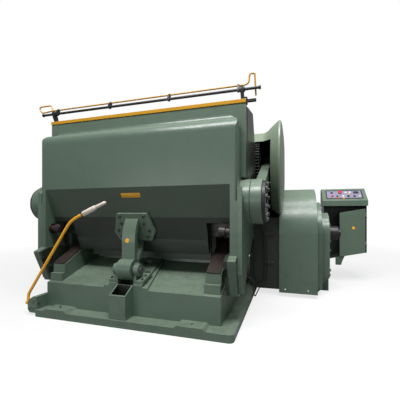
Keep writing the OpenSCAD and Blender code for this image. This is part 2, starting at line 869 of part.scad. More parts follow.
module connecting_rod() {
    color(green)
        translate([0, hub_y, hub_z])
            rotate([rod_angle, 0, 0])
                difference() {
                    union() {
                        xcyl(rod_in, rod_out, hub_r, 0, 0);
                        xcyl(rod_in, rod_out, crank_eye_r, rod_len, 0);
                        xprism(rod_in, rod_out)
                            polygon([[0, -118], [rod_len, -92], [rod_len, 92], [0, 118]]);
                        // raised oiling boss on the top edge near the front eye
                        xbox(rod_in + 30, rod_in + 66, hub_r + 40, hub_r + 80, 90, 128);
                    }
                    xcyl(rod_in - cut, rod_out + cut, trunnion_r + fit, 0, 0);
                    xcyl(rod_in - cut, rod_out + cut, crank_pin_r, rod_len, 0);
                }
}

// The crank pin's outer piece, which stays in the rod's rear eye, and the front eye's cover cap
module rod_cap() {
    color(black) {
        difference() {
            xcyl(rod_out, rod_out + rod_cap_t, hub_r - 14, hub_y, hub_z);
            xcyl(rod_out - cut, rod_out + rod_cap_t + cut, trunnion_r + 3, hub_y, hub_z);
        }
        translate([0, hub_y, hub_z])
            rotate([rod_angle, 0, 0]) {
                xcyl(rod_in, rod_out + 8, crank_pin_r, rod_len, 0);
                xcyl(rod_out, rod_out + 16, crank_pin_r + 26, rod_len, 0);
            }
    }
}

module rod_cap_bolts() {
    ring = hub_r - 44;
    color(chrome)
        for (k = [0:11])
            hex_x(rod_out + rod_cap_t, hub_y + ring * cos(30 * k + 15), hub_z + ring * sin(30 * k + 15), 32, 18);
}

module crank_gears() {
    color(steel)
        both_sides() {
            difference() {
                gear(crank_gear_x, crank_gear_w, crank_y, crank_z, crank_teeth, crank_module, mesh_1_angle,
                    crankshaft_r);
                for (k = [0:5])
                    if (k != 0)
                        xcyl(crank_gear_x - cut, crank_gear_x + crank_gear_w + cut, 88,
                            crank_y + 285 * cos(rod_angle + 60 * k), crank_z + 285 * sin(rod_angle + 60 * k));
            }
            xcyl(crank_gear_x + crank_gear_w - 1, rod_in - gap, crank_pin_r + 30, crank_pin_y, crank_pin_z);
        }
}

module crankshaft() {
    color(steel)
        xcyl(-crank_gear_x - crank_gear_w, crank_gear_x + crank_gear_w, crankshaft_r, crank_y, crank_z);
}

module intermediate_shaft() {
    turn = mesh_1_angle + 180 + 180 / pinion_teeth;
    color(steel) {
        xcyl(-crank_gear_x - crank_gear_w, crank_gear_x + crank_gear_w, inter_shaft_r, inter_y, inter_z);
        both_sides()
            gear(crank_gear_x - 4, crank_gear_w + 4, inter_y, inter_z, pinion_teeth, crank_module, turn,
                inter_shaft_r);
    }
}

module intermediate_gear() {
    color(steel)
        difference() {
            gear(inter_gear_x, inter_gear_w, inter_y, inter_z, inter_teeth, inter_module, mesh_2_angle,
                inter_shaft_r);
            for (k = [0:5])
                xcyl(inter_gear_x - cut, inter_gear_x + inter_gear_w + cut, 62, inter_y + 190 * cos(60 * k + 30),
                    inter_z + 190 * sin(60 * k + 30));
        }
}

module clutch_shaft() {
    turn = mesh_2_angle + 180 + 180 / clutch_teeth;
    color(steel) {
        xcyl(inter_gear_x - 15, stand_out + 5, clutch_shaft_r, drive_y, drive_z);
        gear(inter_gear_x - 4, inter_gear_w + 8, drive_y, drive_z, clutch_teeth, inter_module, turn,
            clutch_shaft_r);
        // driven clutch plate beside the flywheel
        xcyl(flywheel_x + flywheel_w + gap, flywheel_x + flywheel_w + 40, 260, drive_y, drive_z);
    }
}

// ---------------------------------------------------------------- flywheel and motor

function groove_x(k) = flywheel_x + flywheel_w / 2 + (k - (groove_n - 1) / 2) * 30;

module flywheel() {
    inner = flywheel_r - 75;
    hub = 110;
    color(dark_green)
        difference() {
            union() {
                xturn([[inner, flywheel_x], [flywheel_r, flywheel_x],
                    for (k = [0:groove_n - 1]) each [[flywheel_r, groove_x(k) - groove_w / 2],
                        [flywheel_r - groove_depth, groove_x(k) - 6], [flywheel_r - groove_depth, groove_x(k) + 6],
                        [flywheel_r, groove_x(k) + groove_w / 2]],
                    [flywheel_r, flywheel_x + flywheel_w], [inner, flywheel_x + flywheel_w]], drive_y, drive_z);
                xcyl(flywheel_x + 45, flywheel_x + 85, inner + 2, drive_y, drive_z);
                xcyl(flywheel_x, flywheel_x + flywheel_w, hub, drive_y, drive_z);
            }
            xcyl(flywheel_x - cut, flywheel_x + flywheel_w + cut, clutch_shaft_r + fit, drive_y, drive_z);
            for (k = [0:5])
                xcyl(flywheel_x, flywheel_x + flywheel_w, 95, drive_y + 300 * cos(60 * k), drive_z + 300 * sin(60 * k));
        }
}

module motor_pulley() {
    color(dark_green)
        difference() {
            xturn([[0, flywheel_x], [pulley_r, flywheel_x],
                for (k = [0:groove_n - 1]) each [[pulley_r, groove_x(k) - groove_w / 2],
                    [pulley_r - groove_depth, groove_x(k) - 6], [pulley_r - groove_depth, groove_x(k) + 6],
                    [pulley_r, groove_x(k) + groove_w / 2]],
                [pulley_r, flywheel_x + flywheel_w], [0, flywheel_x + flywheel_w]], motor_y, motor_z);
            xcyl(flywheel_x + flywheel_w - 110, flywheel_x + flywheel_w + cut, 24, motor_y, motor_z);
        }
    color(steel)
        xcyl(flywheel_x + flywheel_w - 110, flywheel_x + flywheel_w + 60, 24, motor_y, motor_z);
}

// V-belts: each runs straight between its two grooves and round them
module drive_belts() {
    d = sqrt((motor_y - drive_y) * (motor_y - drive_y) + (motor_z - drive_z) * (motor_z - drive_z));
    tilt = atan2(motor_z - drive_z, motor_y - drive_y);
    wrap = acos((flywheel_r - pulley_r) / d);
    big_in = flywheel_r + gap;
    small_in = pulley_r + gap;
    color(black)
        translate([0, drive_y, drive_z])
            rotate([tilt, 0, 0])
                for (k = [0:groove_n - 1])
                    difference() {
                        xprism(groove_x(k) - groove_w / 2 + gap, groove_x(k) + groove_w / 2 - gap)
                            belt_outline(big_in + belt_rise, small_in + belt_rise, d, wrap);
                        xprism(groove_x(k) - 20, groove_x(k) + 20)
                            belt_outline(big_in, small_in, d, wrap);
                    }
}

module belt_outline(r1, r2, d, wrap) {
    polygon([each quarter(0, 0, r1, wrap, 360 - wrap, 72), each quarter(d, 0, r2, -wrap, wrap, 24)]);
}

module drive_motor() {
    x0 = motor_x;
    color(green)
        difference() {
            union() {
                xcyl(x0, x0 + 24, motor_r, motor_y, motor_z);
                xcyl(x0 + 24, x0 + 330, motor_r - 14, motor_y, motor_z);
                xcyl(x0 + 330, x0 + 390, motor_r - 4, motor_y, motor_z);
                for (a = [0:15:345])
                    translate([x0 + 40, motor_y, motor_z])
                        rotate([a, 0, 0])
                            translate([0, -3, motor_r - 16])
                                cube([270, 6, 14]);
                xbox(x0 + 110, x0 + 240, motor_y - 70, motor_y + 70, motor_z + motor_r - 30, motor_z + motor_r + 60);
                xbox(x0 + 40, x0 + 320, motor_y - 130, motor_y - 70, 128, motor_z - 60);
                xbox(x0 + 40, x0 + 320, motor_y + 70, motor_y + 130, 128, motor_z - 60);
            }
            xcyl(x0 - cut, x0 + 200, 24 + gap, motor_y, motor_z);
        }
}

module motor_base() {
    x0 = motor_x;
    color(dark_green) {
        xbox(x0 - 4, x0 + 392, motor_y - 200, motor_y + 200, 100, 128);
        for (y = [motor_y - 160, motor_y + 120])
            xbox(x0, x0 + 384, y, y + 40, 0, 100);
        // long beam under the flywheel that ties the drive to the base flange
        xbox(flange_x, stand_in, drive_y + 90, drive_y + 190, 0, 46);
        xbox(x0 + 100, x0 + 160, drive_y + 180, motor_y - 150, 0, 46);
        // panel with two ledges that closes the drive's front, over the cable's way
        xbox(frame_out, cover_in, panel_y, panel_y + 16, 70, crank_z - 650);
        for (z = [400, 775])
            xbox(frame_out + 120, cover_in - 60, panel_y - 30, panel_y + 1, z, z + 28);
    }
}

// Side outline of the flywheel cover with its belt tail, grown or shrunk by a margin
module cover_outline(grow, bottom) {
    r = cover_r + grow;
    tail_y = motor_y + tail_back + grow;
    polygon([[drive_y - r, bottom], each quarter(drive_y, drive_z, r, 180, 40, 28),
        [tail_y, motor_z + 230 + grow], [tail_y, bottom]]);
}

module flywheel_cover() {
    color(green)
        difference() {
            xprism(cover_in, cover_out)
                cover_outline(0, cover_bottom);
            xprism(cover_in + guard_t, cover_out - guard_t)
                cover_outline(-guard_t, cover_bottom - cut);
            xcyl(cover_in - cut, cover_out + cut, clutch_shaft_r + 30, drive_y, drive_z);
            // the motor stands in a cut-out of the outer side
            xbox(cover_out - 30, cover_out + cut, motor_y - tail_back + 10, motor_y + tail_back - 10,
                cover_bottom - cut, motor_z + motor_r + 75);
            for (x = [cover_in + 75, cover_out - 110])
                translate([x, drive_y - cover_r - cut, cover_bottom + 45])
                    rotate([-90, 0, 0])
                        cylinder(h = 30, r = 7);
        }
}

module clutch_housing() {
    r = clutch_dome_r + 60;
    color(green)
        difference() {
            xprism(cover_out, stand_in)
                union() {
                    translate([drive_y, drive_z])
                        circle(r = r);
                    translate([drive_y - r + 1, 75])
                        square([2 * r - 2, drive_z - 75]);
                }
            xcyl(cover_out - cut, stand_in + cut, clutch_shaft_r + 40, drive_y, drive_z);
            xbox(cover_out - cut, stand_in - 20, drive_y - r + 20, drive_y + r - 20, 60, drive_z - 150);
        }
}

module outboard_stand() {
    color(green)
        difference() {
            union() {
                xprism(stand_in, stand_out)
                    union() {
                        translate([drive_y, drive_z])
                            circle(r = stand_half);
                        polygon([[drive_y - stand_half, drive_z], [drive_y - stand_half, 240], [drive_y - 200, 60],
                            [drive_y - 200, 0], [drive_y + 200, 0], [drive_y + 200, 60],
                            [drive_y + stand_half, 240], [drive_y + stand_half, drive_z]]);
                    }
                xbox(cover_out + 20, stand_in + 1, drive_y - 360, drive_y - 200, 0, 60);
                xbox(cover_out + 20, stand_in + 1, drive_y - 360, drive_y + 60, 30, 60);
                xcyl(stand_out - 1, stand_out + 26, 150, drive_y, drive_z);
            }
            xcyl(stand_in - cut, stand_out + 26 + cut, clutch_shaft_r + fit, drive_y, drive_z);
            // outer lower edge, cut away at an angle
            translate([stand_out, 0, 200])
                rotate([0, 41, 0])
                    xbox(0, 200, drive_y - 400, drive_y - 150, -400, 10);
        }
}

module stand_bolts() {
    color(chrome) {
        for (side = [-1, 1], z = [228, 300, 560, 680])
            hex_x(stand_out, drive_y + side * (stand_half - 34 - (z < 240 ? 40 : 0)), z, 30, 16);
        for (a = [30:40:150])
            hex_x(stand_out, drive_y + 232 * cos(a), drive_z + 232 * sin(a), 30, 16);
    }
}

module clutch_cylinder() {
    color(black) {
        xcyl(stand_out + 26, stand_out + 26 + cylinder_len, 98, drive_y, drive_z);
        xcyl(stand_out + 26 + cylinder_len, stand_out + 56 + cylinder_len, 60, drive_y, drive_z);
    }
}

// ---------------------------------------------------------------- bed and frames

module bed_casting() {
    pocket_w = 320;
    color(dark_green)
        difference() {
            union() {
                xbox(-frame_in, frame_in, bed_y, 845, bed_bottom, bed_seat_z);
                // apron over the gap between bed and deck
                xbox(-740, 740, bed_y + 120, bed_y + 150, 560, bed_bottom + 1);
                xprism(-plate_half, plate_half)
                    polygon([[bed_y, bed_seat_z], [bed_y, platen_top], [740, platen_top + 80], [867, 1964], [985, 1780],
                        [985, bed_seat_z]]);
            }
            for (k = [-2:2])
                for (z = [bed_bottom + 50, bed_bottom + 340])
                    xbox(k * 380 - pocket_w / 2, k * 380 + pocket_w / 2, bed_y + 80, 845 + 200, z, z + 230);
            for (k = [-2:2])
                for (z = [bed_seat_z + 50, bed_seat_z + 350])
                    xbox(k * 420 - 175, k * 420 + 175, bed_y + 80, 845 + 200, z, z + 240);
        }
}

module die_chase() {
    color("#34302e")
        difference() {
            union() {
                xbox(-chase_half, chase_half, chase_y, bed_y, bed_seat_z, platen_top - 10);
                xbox(-frame_out + 4, frame_out - 4, chase_y, bed_y, 880, bed_seat_z);
            }
            xbox(-shell_half + 85, shell_half - 85, chase_y - cut, bed_y + cut, 965, 2010);
        }
}

module side_frame() {
    color(green)
        difference() {
            union() {
                xprism(frame_in, frame_out)
                    union() {
                        // the front overhangs the base in an arch
                        polygon([[345, 352], [345, 800], [bed_y, 900], [bed_y, bed_seat_z], [1000, bed_seat_z],
                            [crank_y - 190, crank_z + 60], [crank_y + 190, crank_z + 60], [inter_y + 260, inter_z],
                            [flange_back - 40, drive_z + 100], [flange_back - 40, flange_t], [1480, flange_t],
                            [1480, 560], [1400, 700], [1250, 740], [1060, 668], [930, 600], [700, 490], [430, 385]]);
                        translate([crank_y, crank_z])
                            circle(r = 215);
                    }
                xcyl(frame_in - 60, frame_in + 1, 150, crank_y, crank_z);
            }
            xcyl(frame_in - 90, frame_out + cut, crankshaft_r + fit, crank_y, crank_z);
            xcyl(frame_in - 90, frame_out + cut, inter_shaft_r + fit, inter_y, inter_z);
            xcyl(frame_in - 90, frame_out + cut, clutch_shaft_r + fit, drive_y, drive_z);
        }
}

module bearing_caps() {
    color(pale_green)
        both_sides() {
            difference() {
                xcyl(frame_in - 84, frame_in - 60, 150, crank_y, crank_z);
                xcyl(frame_in - 100, frame_in - 50, crankshaft_r + fit, crank_y, crank_z);
            }
            difference() {
                xcyl(frame_in - 24, frame_in, 90, inter_y, inter_z);
                xcyl(frame_in - 40, frame_in + cut, inter_shaft_r + fit, inter_y, inter_z);
            }
        }
}

// Profile of the guard: a narrow drum beside the frame that flares out to the large outer drum
function guard_profile(t) = [[480 - t, frame_out], [480 - t, frame_out + 125], [505 - t, frame_out + 178],
    [556 - t, frame_out + 232], [608 - t, guard_out - 93], [guard_r - t, guard_out - 63],
    [guard_r - 8 - t, guard_out - 45], [guard_r - 60 - t, guard_out - 29], [guard_r - 210 - t, guard_out - 11],
    [300, guard_out - 3]];

module gear_guard() {
    front_z = 1945;
    color(pale_green)
        difference() {
            union() {
                xturn([each guard_profile(0), [0, guard_out], [0, guard_out - guard_t], [300, guard_out - 3 - guard_t],
                    for (k = [8:-1:0]) guard_profile(guard_t)[k] - [0, k > 5 ? guard_t : 0]], crank_y, crank_z);
                // inner disc, bolted to the side frame round the crankshaft's bearing
                xturn([[crankshaft_r + 35, frame_out], [476, frame_out], [476, frame_out + guard_t],
                    [crankshaft_r + 35, frame_out + guard_t]], crank_y, crank_z);
            }
            // opening where the connecting rod goes in
            xbox(frame_out - cut, rod_out + 21, 700, crank_y, 900, front_z);
            // the rod's and gear's way below
            xbox(frame_out - cut, rod_out + 21, 700, crank_y + 700, 900, crank_z - 120);
            // sheet cut away round the flywheel cover
            xprism(cover_in - 4, guard_out + 35)
                cover_outline(4, cover_bottom);
        }
}

module lever_bracket() {
    color(green)
        difference() {
            translate([0, -20, 0])
                rotate([90, 0, 0])
                    linear_extrude(170)
                        polygon([[-bracket_left + 25, 30], [-bracket_left, 60], [-bracket_left, lever_pivot_z + 24],
                            [-bracket_left + 70, 196], [-plinth_half, 196], [-plinth_half, 30]]);
            xcyl(-bracket_left - cut, -plinth_half + cut, lever_pin_r + fit, lever_y, lever_pivot_z);
        }
    // bolts on the bracket's front
    color(dark_green)
        for (p = [[-1035, 92], [-985, 92], [-985, 160]])
            translate([p[0], -190, p[1]])
                rotate([90, 0, 0])
                    cylinder(h = 10, r = 11);
}

module clutch_lever() {
    y = lever_y;
    color(yellow) {
        xcyl(-lever_pivot_x - 17, -bracket_left - gap, 24, y, lever_pivot_z);
        bent_bar([[-lever_pivot_x, y, lever_pivot_z], [-lever_pivot_x - 3, y, lever_pivot_z + 79],
            [-583, y, 925], [-560, y, 955], [-495, y, 1003], [-396, y, 1047], [-360, y, 1062.575]], lever_tube_r);
    }
    color(steel)
        xcyl(-bracket_left - gap, -plinth_half + 8, lever_pin_r, y, lever_pivot_z);
}

module lever_grip() {
    start = [-396, lever_y, 1047];
    dir = [141, 0, 61];
    l = norm(dir);
    color(beige)
        translate(start)
            rotate([0, acos(dir[2] / l), 0])
                difference() {
                    union() {
                        cylinder(h = 154, r = grip_r);
                        translate([0, 0, 154])
                            cylinder(h = 112, r = grip_r * 0.66);
                        translate([0, 0, 266])
                            sphere(r = grip_r * 0.66);
                    }
                    translate([0, 0, -cut])
                        cylinder(h = 60, r = lever_tube_r + bend_bead + fit);
                }
}

// ---------------------------------------------------------------- console

// Places its children on the sloped panel: x across, y up the slope, z out of it
module on_panel() {
    translate([console_x, console_y - hood_over - 20, hood_front_z])
        rotate([panel_slope, 0, 0])
            children();
}

function console_floor(x) = console_bottom + (x - console_x) * tan(12.3);

module console_cabinet() {
    right = console_x + console_w;
    color(green)
        difference() {
            union() {
                translate([0, console_y + console_d, 0])
                    rotate([90, 0, 0])
                        linear_extrude(console_d)
                            polygon([[console_x, console_floor(console_x)], [console_x, hood_bottom_z],
                                [right, hood_bottom_z], [right, console_floor(right)]]);
                // corner leg at the left of the door
                translate([0, console_y + 60, 0])
                    rotate([90, 0, 0])
                        linear_extrude(60)
                            polygon([[door_left - 50, console_floor(door_left) + 20], [door_left - 50, leg_z],
                                [door_left + 22, leg_z], [door_left + 40, leg_z + 60],
                                [door_left + 80, console_floor(door_left + 80) + 20]]);
            }
            // hollow behind the door and the open bay, open to the front
            translate([0, console_y + console_d - console_t, 0])
                rotate([90, 0, 0])
                    linear_extrude(console_d)
                        polygon([[console_x + console_t, console_floor(console_x) + console_t + 4],
                            [console_x + console_t, hood_bottom_z - console_t],
                            [right - console_t, hood_bottom_z - console_t],
                            [right - console_t, console_floor(right) + console_t]]);
        }
    color(steel)
        for (z = door_hinge_zs)
            door_hinge_pin(z);
}

// Fixed pins of the door's two hinges, each on a lug that stands out of the cabinet's front
module door_hinge_pin(z) {
    xbox(door_right + 4, console_x + console_w, door_pin_y - 6, console_y + 1, z - 20 - gap, z - gap);
    translate([door_right + 8, door_pin_y, z - 10])
        cylinder(h = 66, r = 4);
}

module console_door() {
    right = door_right;
    color(green)
        difference() {
            union() {
                translate([0, console_y - gap, 0])
                    rotate([90, 0, 0])
                        linear_extrude(18)
                            polygon([[door_left, console_floor(door_left) + 6], [door_left, door_top_z],
                                [right, door_top_z + (right - door_left) * tan(10)], [right, console_floor(right) + 6]]);
                for (z = door_hinge_zs) {
                    translate([right + 8, door_pin_y, z])
                        cylinder(h = 56, r = 8);
                    xbox(right - 2, right + 8, door_pin_y - 5, door_pin_y + 5, z, z + 56);
                }
            }
            for (z = door_hinge_zs) {
                translate([right + 8, door_pin_y, z - cut])
                    cylinder(h = 56 + 2 * cut, r = 4 + fit);
                // notch that clears the lug as the door swings
                xbox(right - 6, right + 1, console_y - 30, console_y, z - 23, z - gap);
            }
        }
}

module console_hood() {
    top_y = (panel_len) * cos(panel_slope);
    front_y = console_y - hood_over - 20;
    back_y = console_y + console_d;
    rise = panel_len * sin(panel_slope);
    color(green)
        difference() {
            xprism(console_x - hood_over, console_x + console_w + hood_over)
                polygon([[front_y, hood_front_z], [front_y, hood_bottom_z], [back_y, hood_bottom_z],
                    [back_y, hood_front_z + rise - 30], [back_y - 30, hood_front_z + rise],
                    [front_y + top_y, hood_front_z + rise]]);
            xprism(console_x - hood_over + console_t, console_x + console_w + hood_over - console_t)
                polygon([[front_y + console_t, hood_front_z - 4], [front_y + console_t, hood_bottom_z + console_t],
                    [back_y - console_t, hood_bottom_z + console_t], [back_y - console_t, hood_front_z + rise - 34],
                    [front_y + top_y, hood_front_z + rise - 6]]);
            // button and lamp holes through the sloped sheet
            for (p = button_places)
                on_panel()
                    translate([p[0], p[1], -60])
                        cylinder(h = 100, r = button_bush_r);
        }
}

module control_plate() {
    color("#b9b4c4")
        difference() {
            union() {
                on_panel()
                    translate([47, plate_low, 0])
                        cube([516, plate_high - plate_low, 3]);
                for (p = button_places)
                    on_panel()
                        translate([p[0], p[1], -16])
                            cylinder(h = 22, r = button_bush_r);
            }
            for (p = button_places)
                on_panel()
                    translate([p[0], p[1], -40])
                        cylinder(h = 60, r = button_stem_r + fit);
        }
}

module push_button(place, cap_r, cap_h, tint) {
    color(tint)
        on_panel()
            translate([place[0], place[1], 0]) {
                translate([0, 0, 6 + button_travel + 0.5])
                    cylinder(h = cap_h, r = cap_r);
                translate([0, 0, -22])
                    cylinder(h = 28 + button_travel + 1, r = button_stem_r);
            }
}

module start_button() {
    push_button(button_places[0], button_r, 7, "#2f8f4a");
}

module stop_button() {
    push_button(button_places[1], button_r, 7, "#b3262c");
}

module emergency_stop() {
    push_button(button_places[2], button_r * 1.6, 14, "#e0303a");
}

module selector_knob() {
    color(black)
        on_panel()
            translate([button_places[3][0], button_places[3][1], 0]) {
                translate([0, 0, 6 + gap])
                    cylinder(h = 8, r = button_r);
                translate([-4, -button_r + 2, 6 + gap])
                    cube([8, 2 * button_r - 4, 20]);
                translate([0, 0, -22])
                    cylinder(h = 30, r = button_stem_r);
            }
}

module pilot_lamps() {
    color("#f1efe6")
        for (p = lamp_places)
            on_panel()
                translate([p[0], p[1], 3]) {
                    cylinder(h = 6, r = 15);
                    translate([0, 0, 6])
                        cylinder(h = 8, r = 11);
                }
}

module console_stand() {
    x1 = console_x - 5;
    color(black) {
        xbox(x1 - 50, x1, console_y + 75, console_y + 155, 0, 1000);
        for (z = [560, 900])
            xbox(x1, console_x, console_y + 75, console_y + 155, z, z + 80);
        xbox(x1 - 55, x1 + 10, min(motor_y - 200, console_y + 60), max(motor_y + 160, console_y + 170), 0, 14);
        xbox(motor_x + 390, x1 - 45, motor_y - 160, motor_y - 120, 0, 90);
        // cable trunk from the motor's terminal box to the cabinet
        xbox(motor_x + 240, console_x, motor_y - 20, motor_y + 20, motor_z + motor_r, motor_z + motor_r + 40);
    }
}

// Two glands; the cable's ends sit in their mouths
module cable_glands() {
    start = cable_route[0];
    mouth_r = cable_d / 2 + 1.5;
    color(black) {
        difference() {
            xcyl(frame_out, start[0] + 5, cable_d, start[1], start[2]);
            xcyl(start[0] - 2, start[0] + 6, mouth_r, start[1], start[2]);
        }
        translate(cable_end)
            rotate([-90, 0, 0])
                difference() {
                    translate([0, 0, -5])
                        cylinder(h = drive_y + 95 - cable_end[1], r = cable_d);
                    translate([0, 0, -6])
                        cylinder(h = 8, r = mouth_r);
                }
    }
}

// Smooth curve through the route's points, then a ring every few diameters
function spline(a, b, c, d, t) =
    0.5 * (2 * b + (c - a) * t + (2 * a - 5 * b + 4 * c - d) * t * t + (3 * b - a - 3 * c + d) * t * t * t);
function route_points(route, steps) =
    let (n = len(route) - 1)
    [for (k = [0:n - 1], j = [0:steps - 1])
        spline(route[max(k - 1, 0)], route[k], route[k + 1], route[min(k + 2, n)], j / steps), route[n]];
function unit(v) = v / norm(v);
function heading(p, k) = unit(p[min(k + 1, len(p) - 1)] - p[max(k - 1, 0)]);
function carry(p, k, sides) =
    k == len(p) ? [] :
    let (h = heading(p, k), s = unit(sides - (sides * h) * h))
    concat([s], carry(p, k + 1, s));

module tube(route, steps, d, facets) {
    p = route_points(route, steps);
    sides = carry(p, 0, [0, 0, 1]);
    n = len(p);
    rings = [for (k = [0:n - 1]) let (s = sides[k], u = cross(heading(p, k), s))
        each [for (j = [0:facets - 1]) p[k] + d / 2 * (cos(360 * j / facets) * s + sin(360 * j / facets) * u)]];
    polyhedron(rings, [
        [for (j = [0:facets - 1]) j],
        for (k = [0:n - 2], j = [0:facets - 1])
            [k * facets + j, (k + 1) * facets + j, (k + 1) * facets + (j + 1) % facets, k * facets + (j + 1) % facets],
        [for (j = [facets - 1:-1:0]) (n - 1) * facets + j]]);
}

module sensor_cable() {
    color(black)
        tube(cable_route, 4, cable_d, 8);
}

base_casting();
oil_trough();
guide_rails();
hinge_bracket();
hinge_bracket_bolts();
hinge_pin();
lever_bracket();
bed_casting();
die_chase();
mirror([1, 0, 0]) side_frame();  // side_frame_left
side_frame();  // side_frame_right
bearing_caps();
mirror([1, 0, 0]) gear_guard();  // gear_guard_left
gear_guard();  // gear_guard_right
flywheel_cover();
clutch_housing();
outboard_stand();
stand_bolts();
clutch_cylinder();
drive_motor();
motor_base();
drive_belts();
console_cabinet();
console_hood();
control_plate();
console_stand();
pilot_lamps();
sensor_cable();
cable_glands();
platen_casting();
back_plate();
cutting_plate();
top_bar();
shaft_brackets();
trunnion_hubs();
guide_rollers();
hinge_arm();
hinge_arm_bolts();
control_shaft();
safety_rod();
mirror([1, 0, 0]) connecting_rod();  // connecting_rod_left
connecting_rod();  // connecting_rod_right
mirror([1, 0, 0]) rod_cap();  // rod_cap_left
rod_cap();  // rod_cap_right
mirror([1, 0, 0]) rod_cap_bolts();  // rod_cap_bolts_left
rod_cap_bolts();  // rod_cap_bolts_right
crankshaft();
crank_gears();
intermediate_shaft();
intermediate_gear();
clutch_shaft();
flywheel();
motor_pulley();
clutch_lever();
lever_grip();
console_door();
start_button();
stop_button();
emergency_stop();
selector_knob();
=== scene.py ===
# %% [markdown]
# # A clamshell die cutting press
# The press is already built as a fixed frame of solids, one node for each part, sorted into bodies that
# turn and slide. This lesson dresses that frame: it rounds the edges of the castings, draws the turned and
# bent sheet work as surfaces, and paints everything with enamel, steel, rubber and grease.

# %% Load the frame
import json
import math

import bmesh
import bpy
import numpy as np
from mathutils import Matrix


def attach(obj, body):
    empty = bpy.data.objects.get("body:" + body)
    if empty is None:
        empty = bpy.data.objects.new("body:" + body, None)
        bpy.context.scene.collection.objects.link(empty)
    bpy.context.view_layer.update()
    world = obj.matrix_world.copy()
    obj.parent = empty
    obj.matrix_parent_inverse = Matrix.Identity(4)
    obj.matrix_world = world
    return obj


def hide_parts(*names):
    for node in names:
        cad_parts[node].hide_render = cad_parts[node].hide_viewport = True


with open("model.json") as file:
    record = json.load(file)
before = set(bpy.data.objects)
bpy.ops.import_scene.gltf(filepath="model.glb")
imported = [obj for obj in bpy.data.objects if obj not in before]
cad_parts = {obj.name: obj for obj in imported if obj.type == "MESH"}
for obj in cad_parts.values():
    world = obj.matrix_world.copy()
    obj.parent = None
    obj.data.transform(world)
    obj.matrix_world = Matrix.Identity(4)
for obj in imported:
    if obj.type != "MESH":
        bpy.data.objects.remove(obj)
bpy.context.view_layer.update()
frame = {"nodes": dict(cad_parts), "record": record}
nodes = frame["nodes"]
body_of_node = {n: b for b, members in frame["record"]["behaviour"]["bodies"].items() for n in members}

# %% [markdown]
# The camera stands level at chest height, ahead of the machine's right half and turned a little to the
# left, as a person would stand to see the platen and the drive together. The lens is a moderate wide angle.
# A level camera keeps the uprights upright.

# %% Camera
CAMERA_PLACE = (1.5078, -2.4363, 1.050)
CAMERA_YAW = 17.39
LENS = 25.29
LENS_RISE = 0.034

camera_data = bpy.data.cameras.new("camera")
camera_data.sensor_width = 36.0
camera_data.lens = LENS
camera_data.shift_y = LENS_RISE
camera = bpy.data.objects.new("camera", camera_data)
camera.location = CAMERA_PLACE
camera.rotation_euler = (math.radians(90), 0, math.radians(CAMERA_YAW))
bpy.context.scene.collection.objects.link(camera)
bpy.context.scene.camera = camera
print("camera height:", CAMERA_PLACE[2], "m")

# %% [markdown]
# Every colour below is written as the hex value a painter would read off a screen. Blender mixes light in
# linear units, so one small function turns one into the other.

# %% Colour helper
def linear(hex_colour, alpha=1.0):
    """sRGB hex to linear: c / 12.92 below 0.04045, else ((c + 0.055) / 1.055) to the power 2.4."""
    srgb = np.array([int(hex_colour[i:i + 2], 16) for i in (1, 3, 5)]) / 255.0
    lin = np.where(srgb <= 0.04045, srgb / 12.92, ((srgb + 0.055) / 1.055) ** 2.4)
    return (*lin.tolist(), alpha)


print("mid grey is", round(linear("#808080")[0], 3))

# %% [markdown]
# A shader is a small chain of nodes. This helper adds one node, sets its options, and fills its sockets
# either with a value or with a wire from another node.

# %% Node helper
def add_node(tree, kind, inputs=None, **settings):
    """Adds one node; inputs maps a socket's name or number to a value or to an output socket."""
    made = tree.nodes.new(kind)
    for key, value in settings.items():
        setattr(made, key, value)
    for key, value in (inputs or {}).items():
        if isinstance(value, bpy.types.NodeSocket):
            tree.links.new(value, made.inputs[key])
        else:
            made.inputs[key].default_value = value
    return made


def new_material(name):
    """An empty node material with its output node."""
    material = bpy.data.materials.new(name)
    material.use_nodes = True
    material.node_tree.nodes.clear()
    return material, material.node_tree, add_node(material.node_tree, "ShaderNodeOutputMaterial")
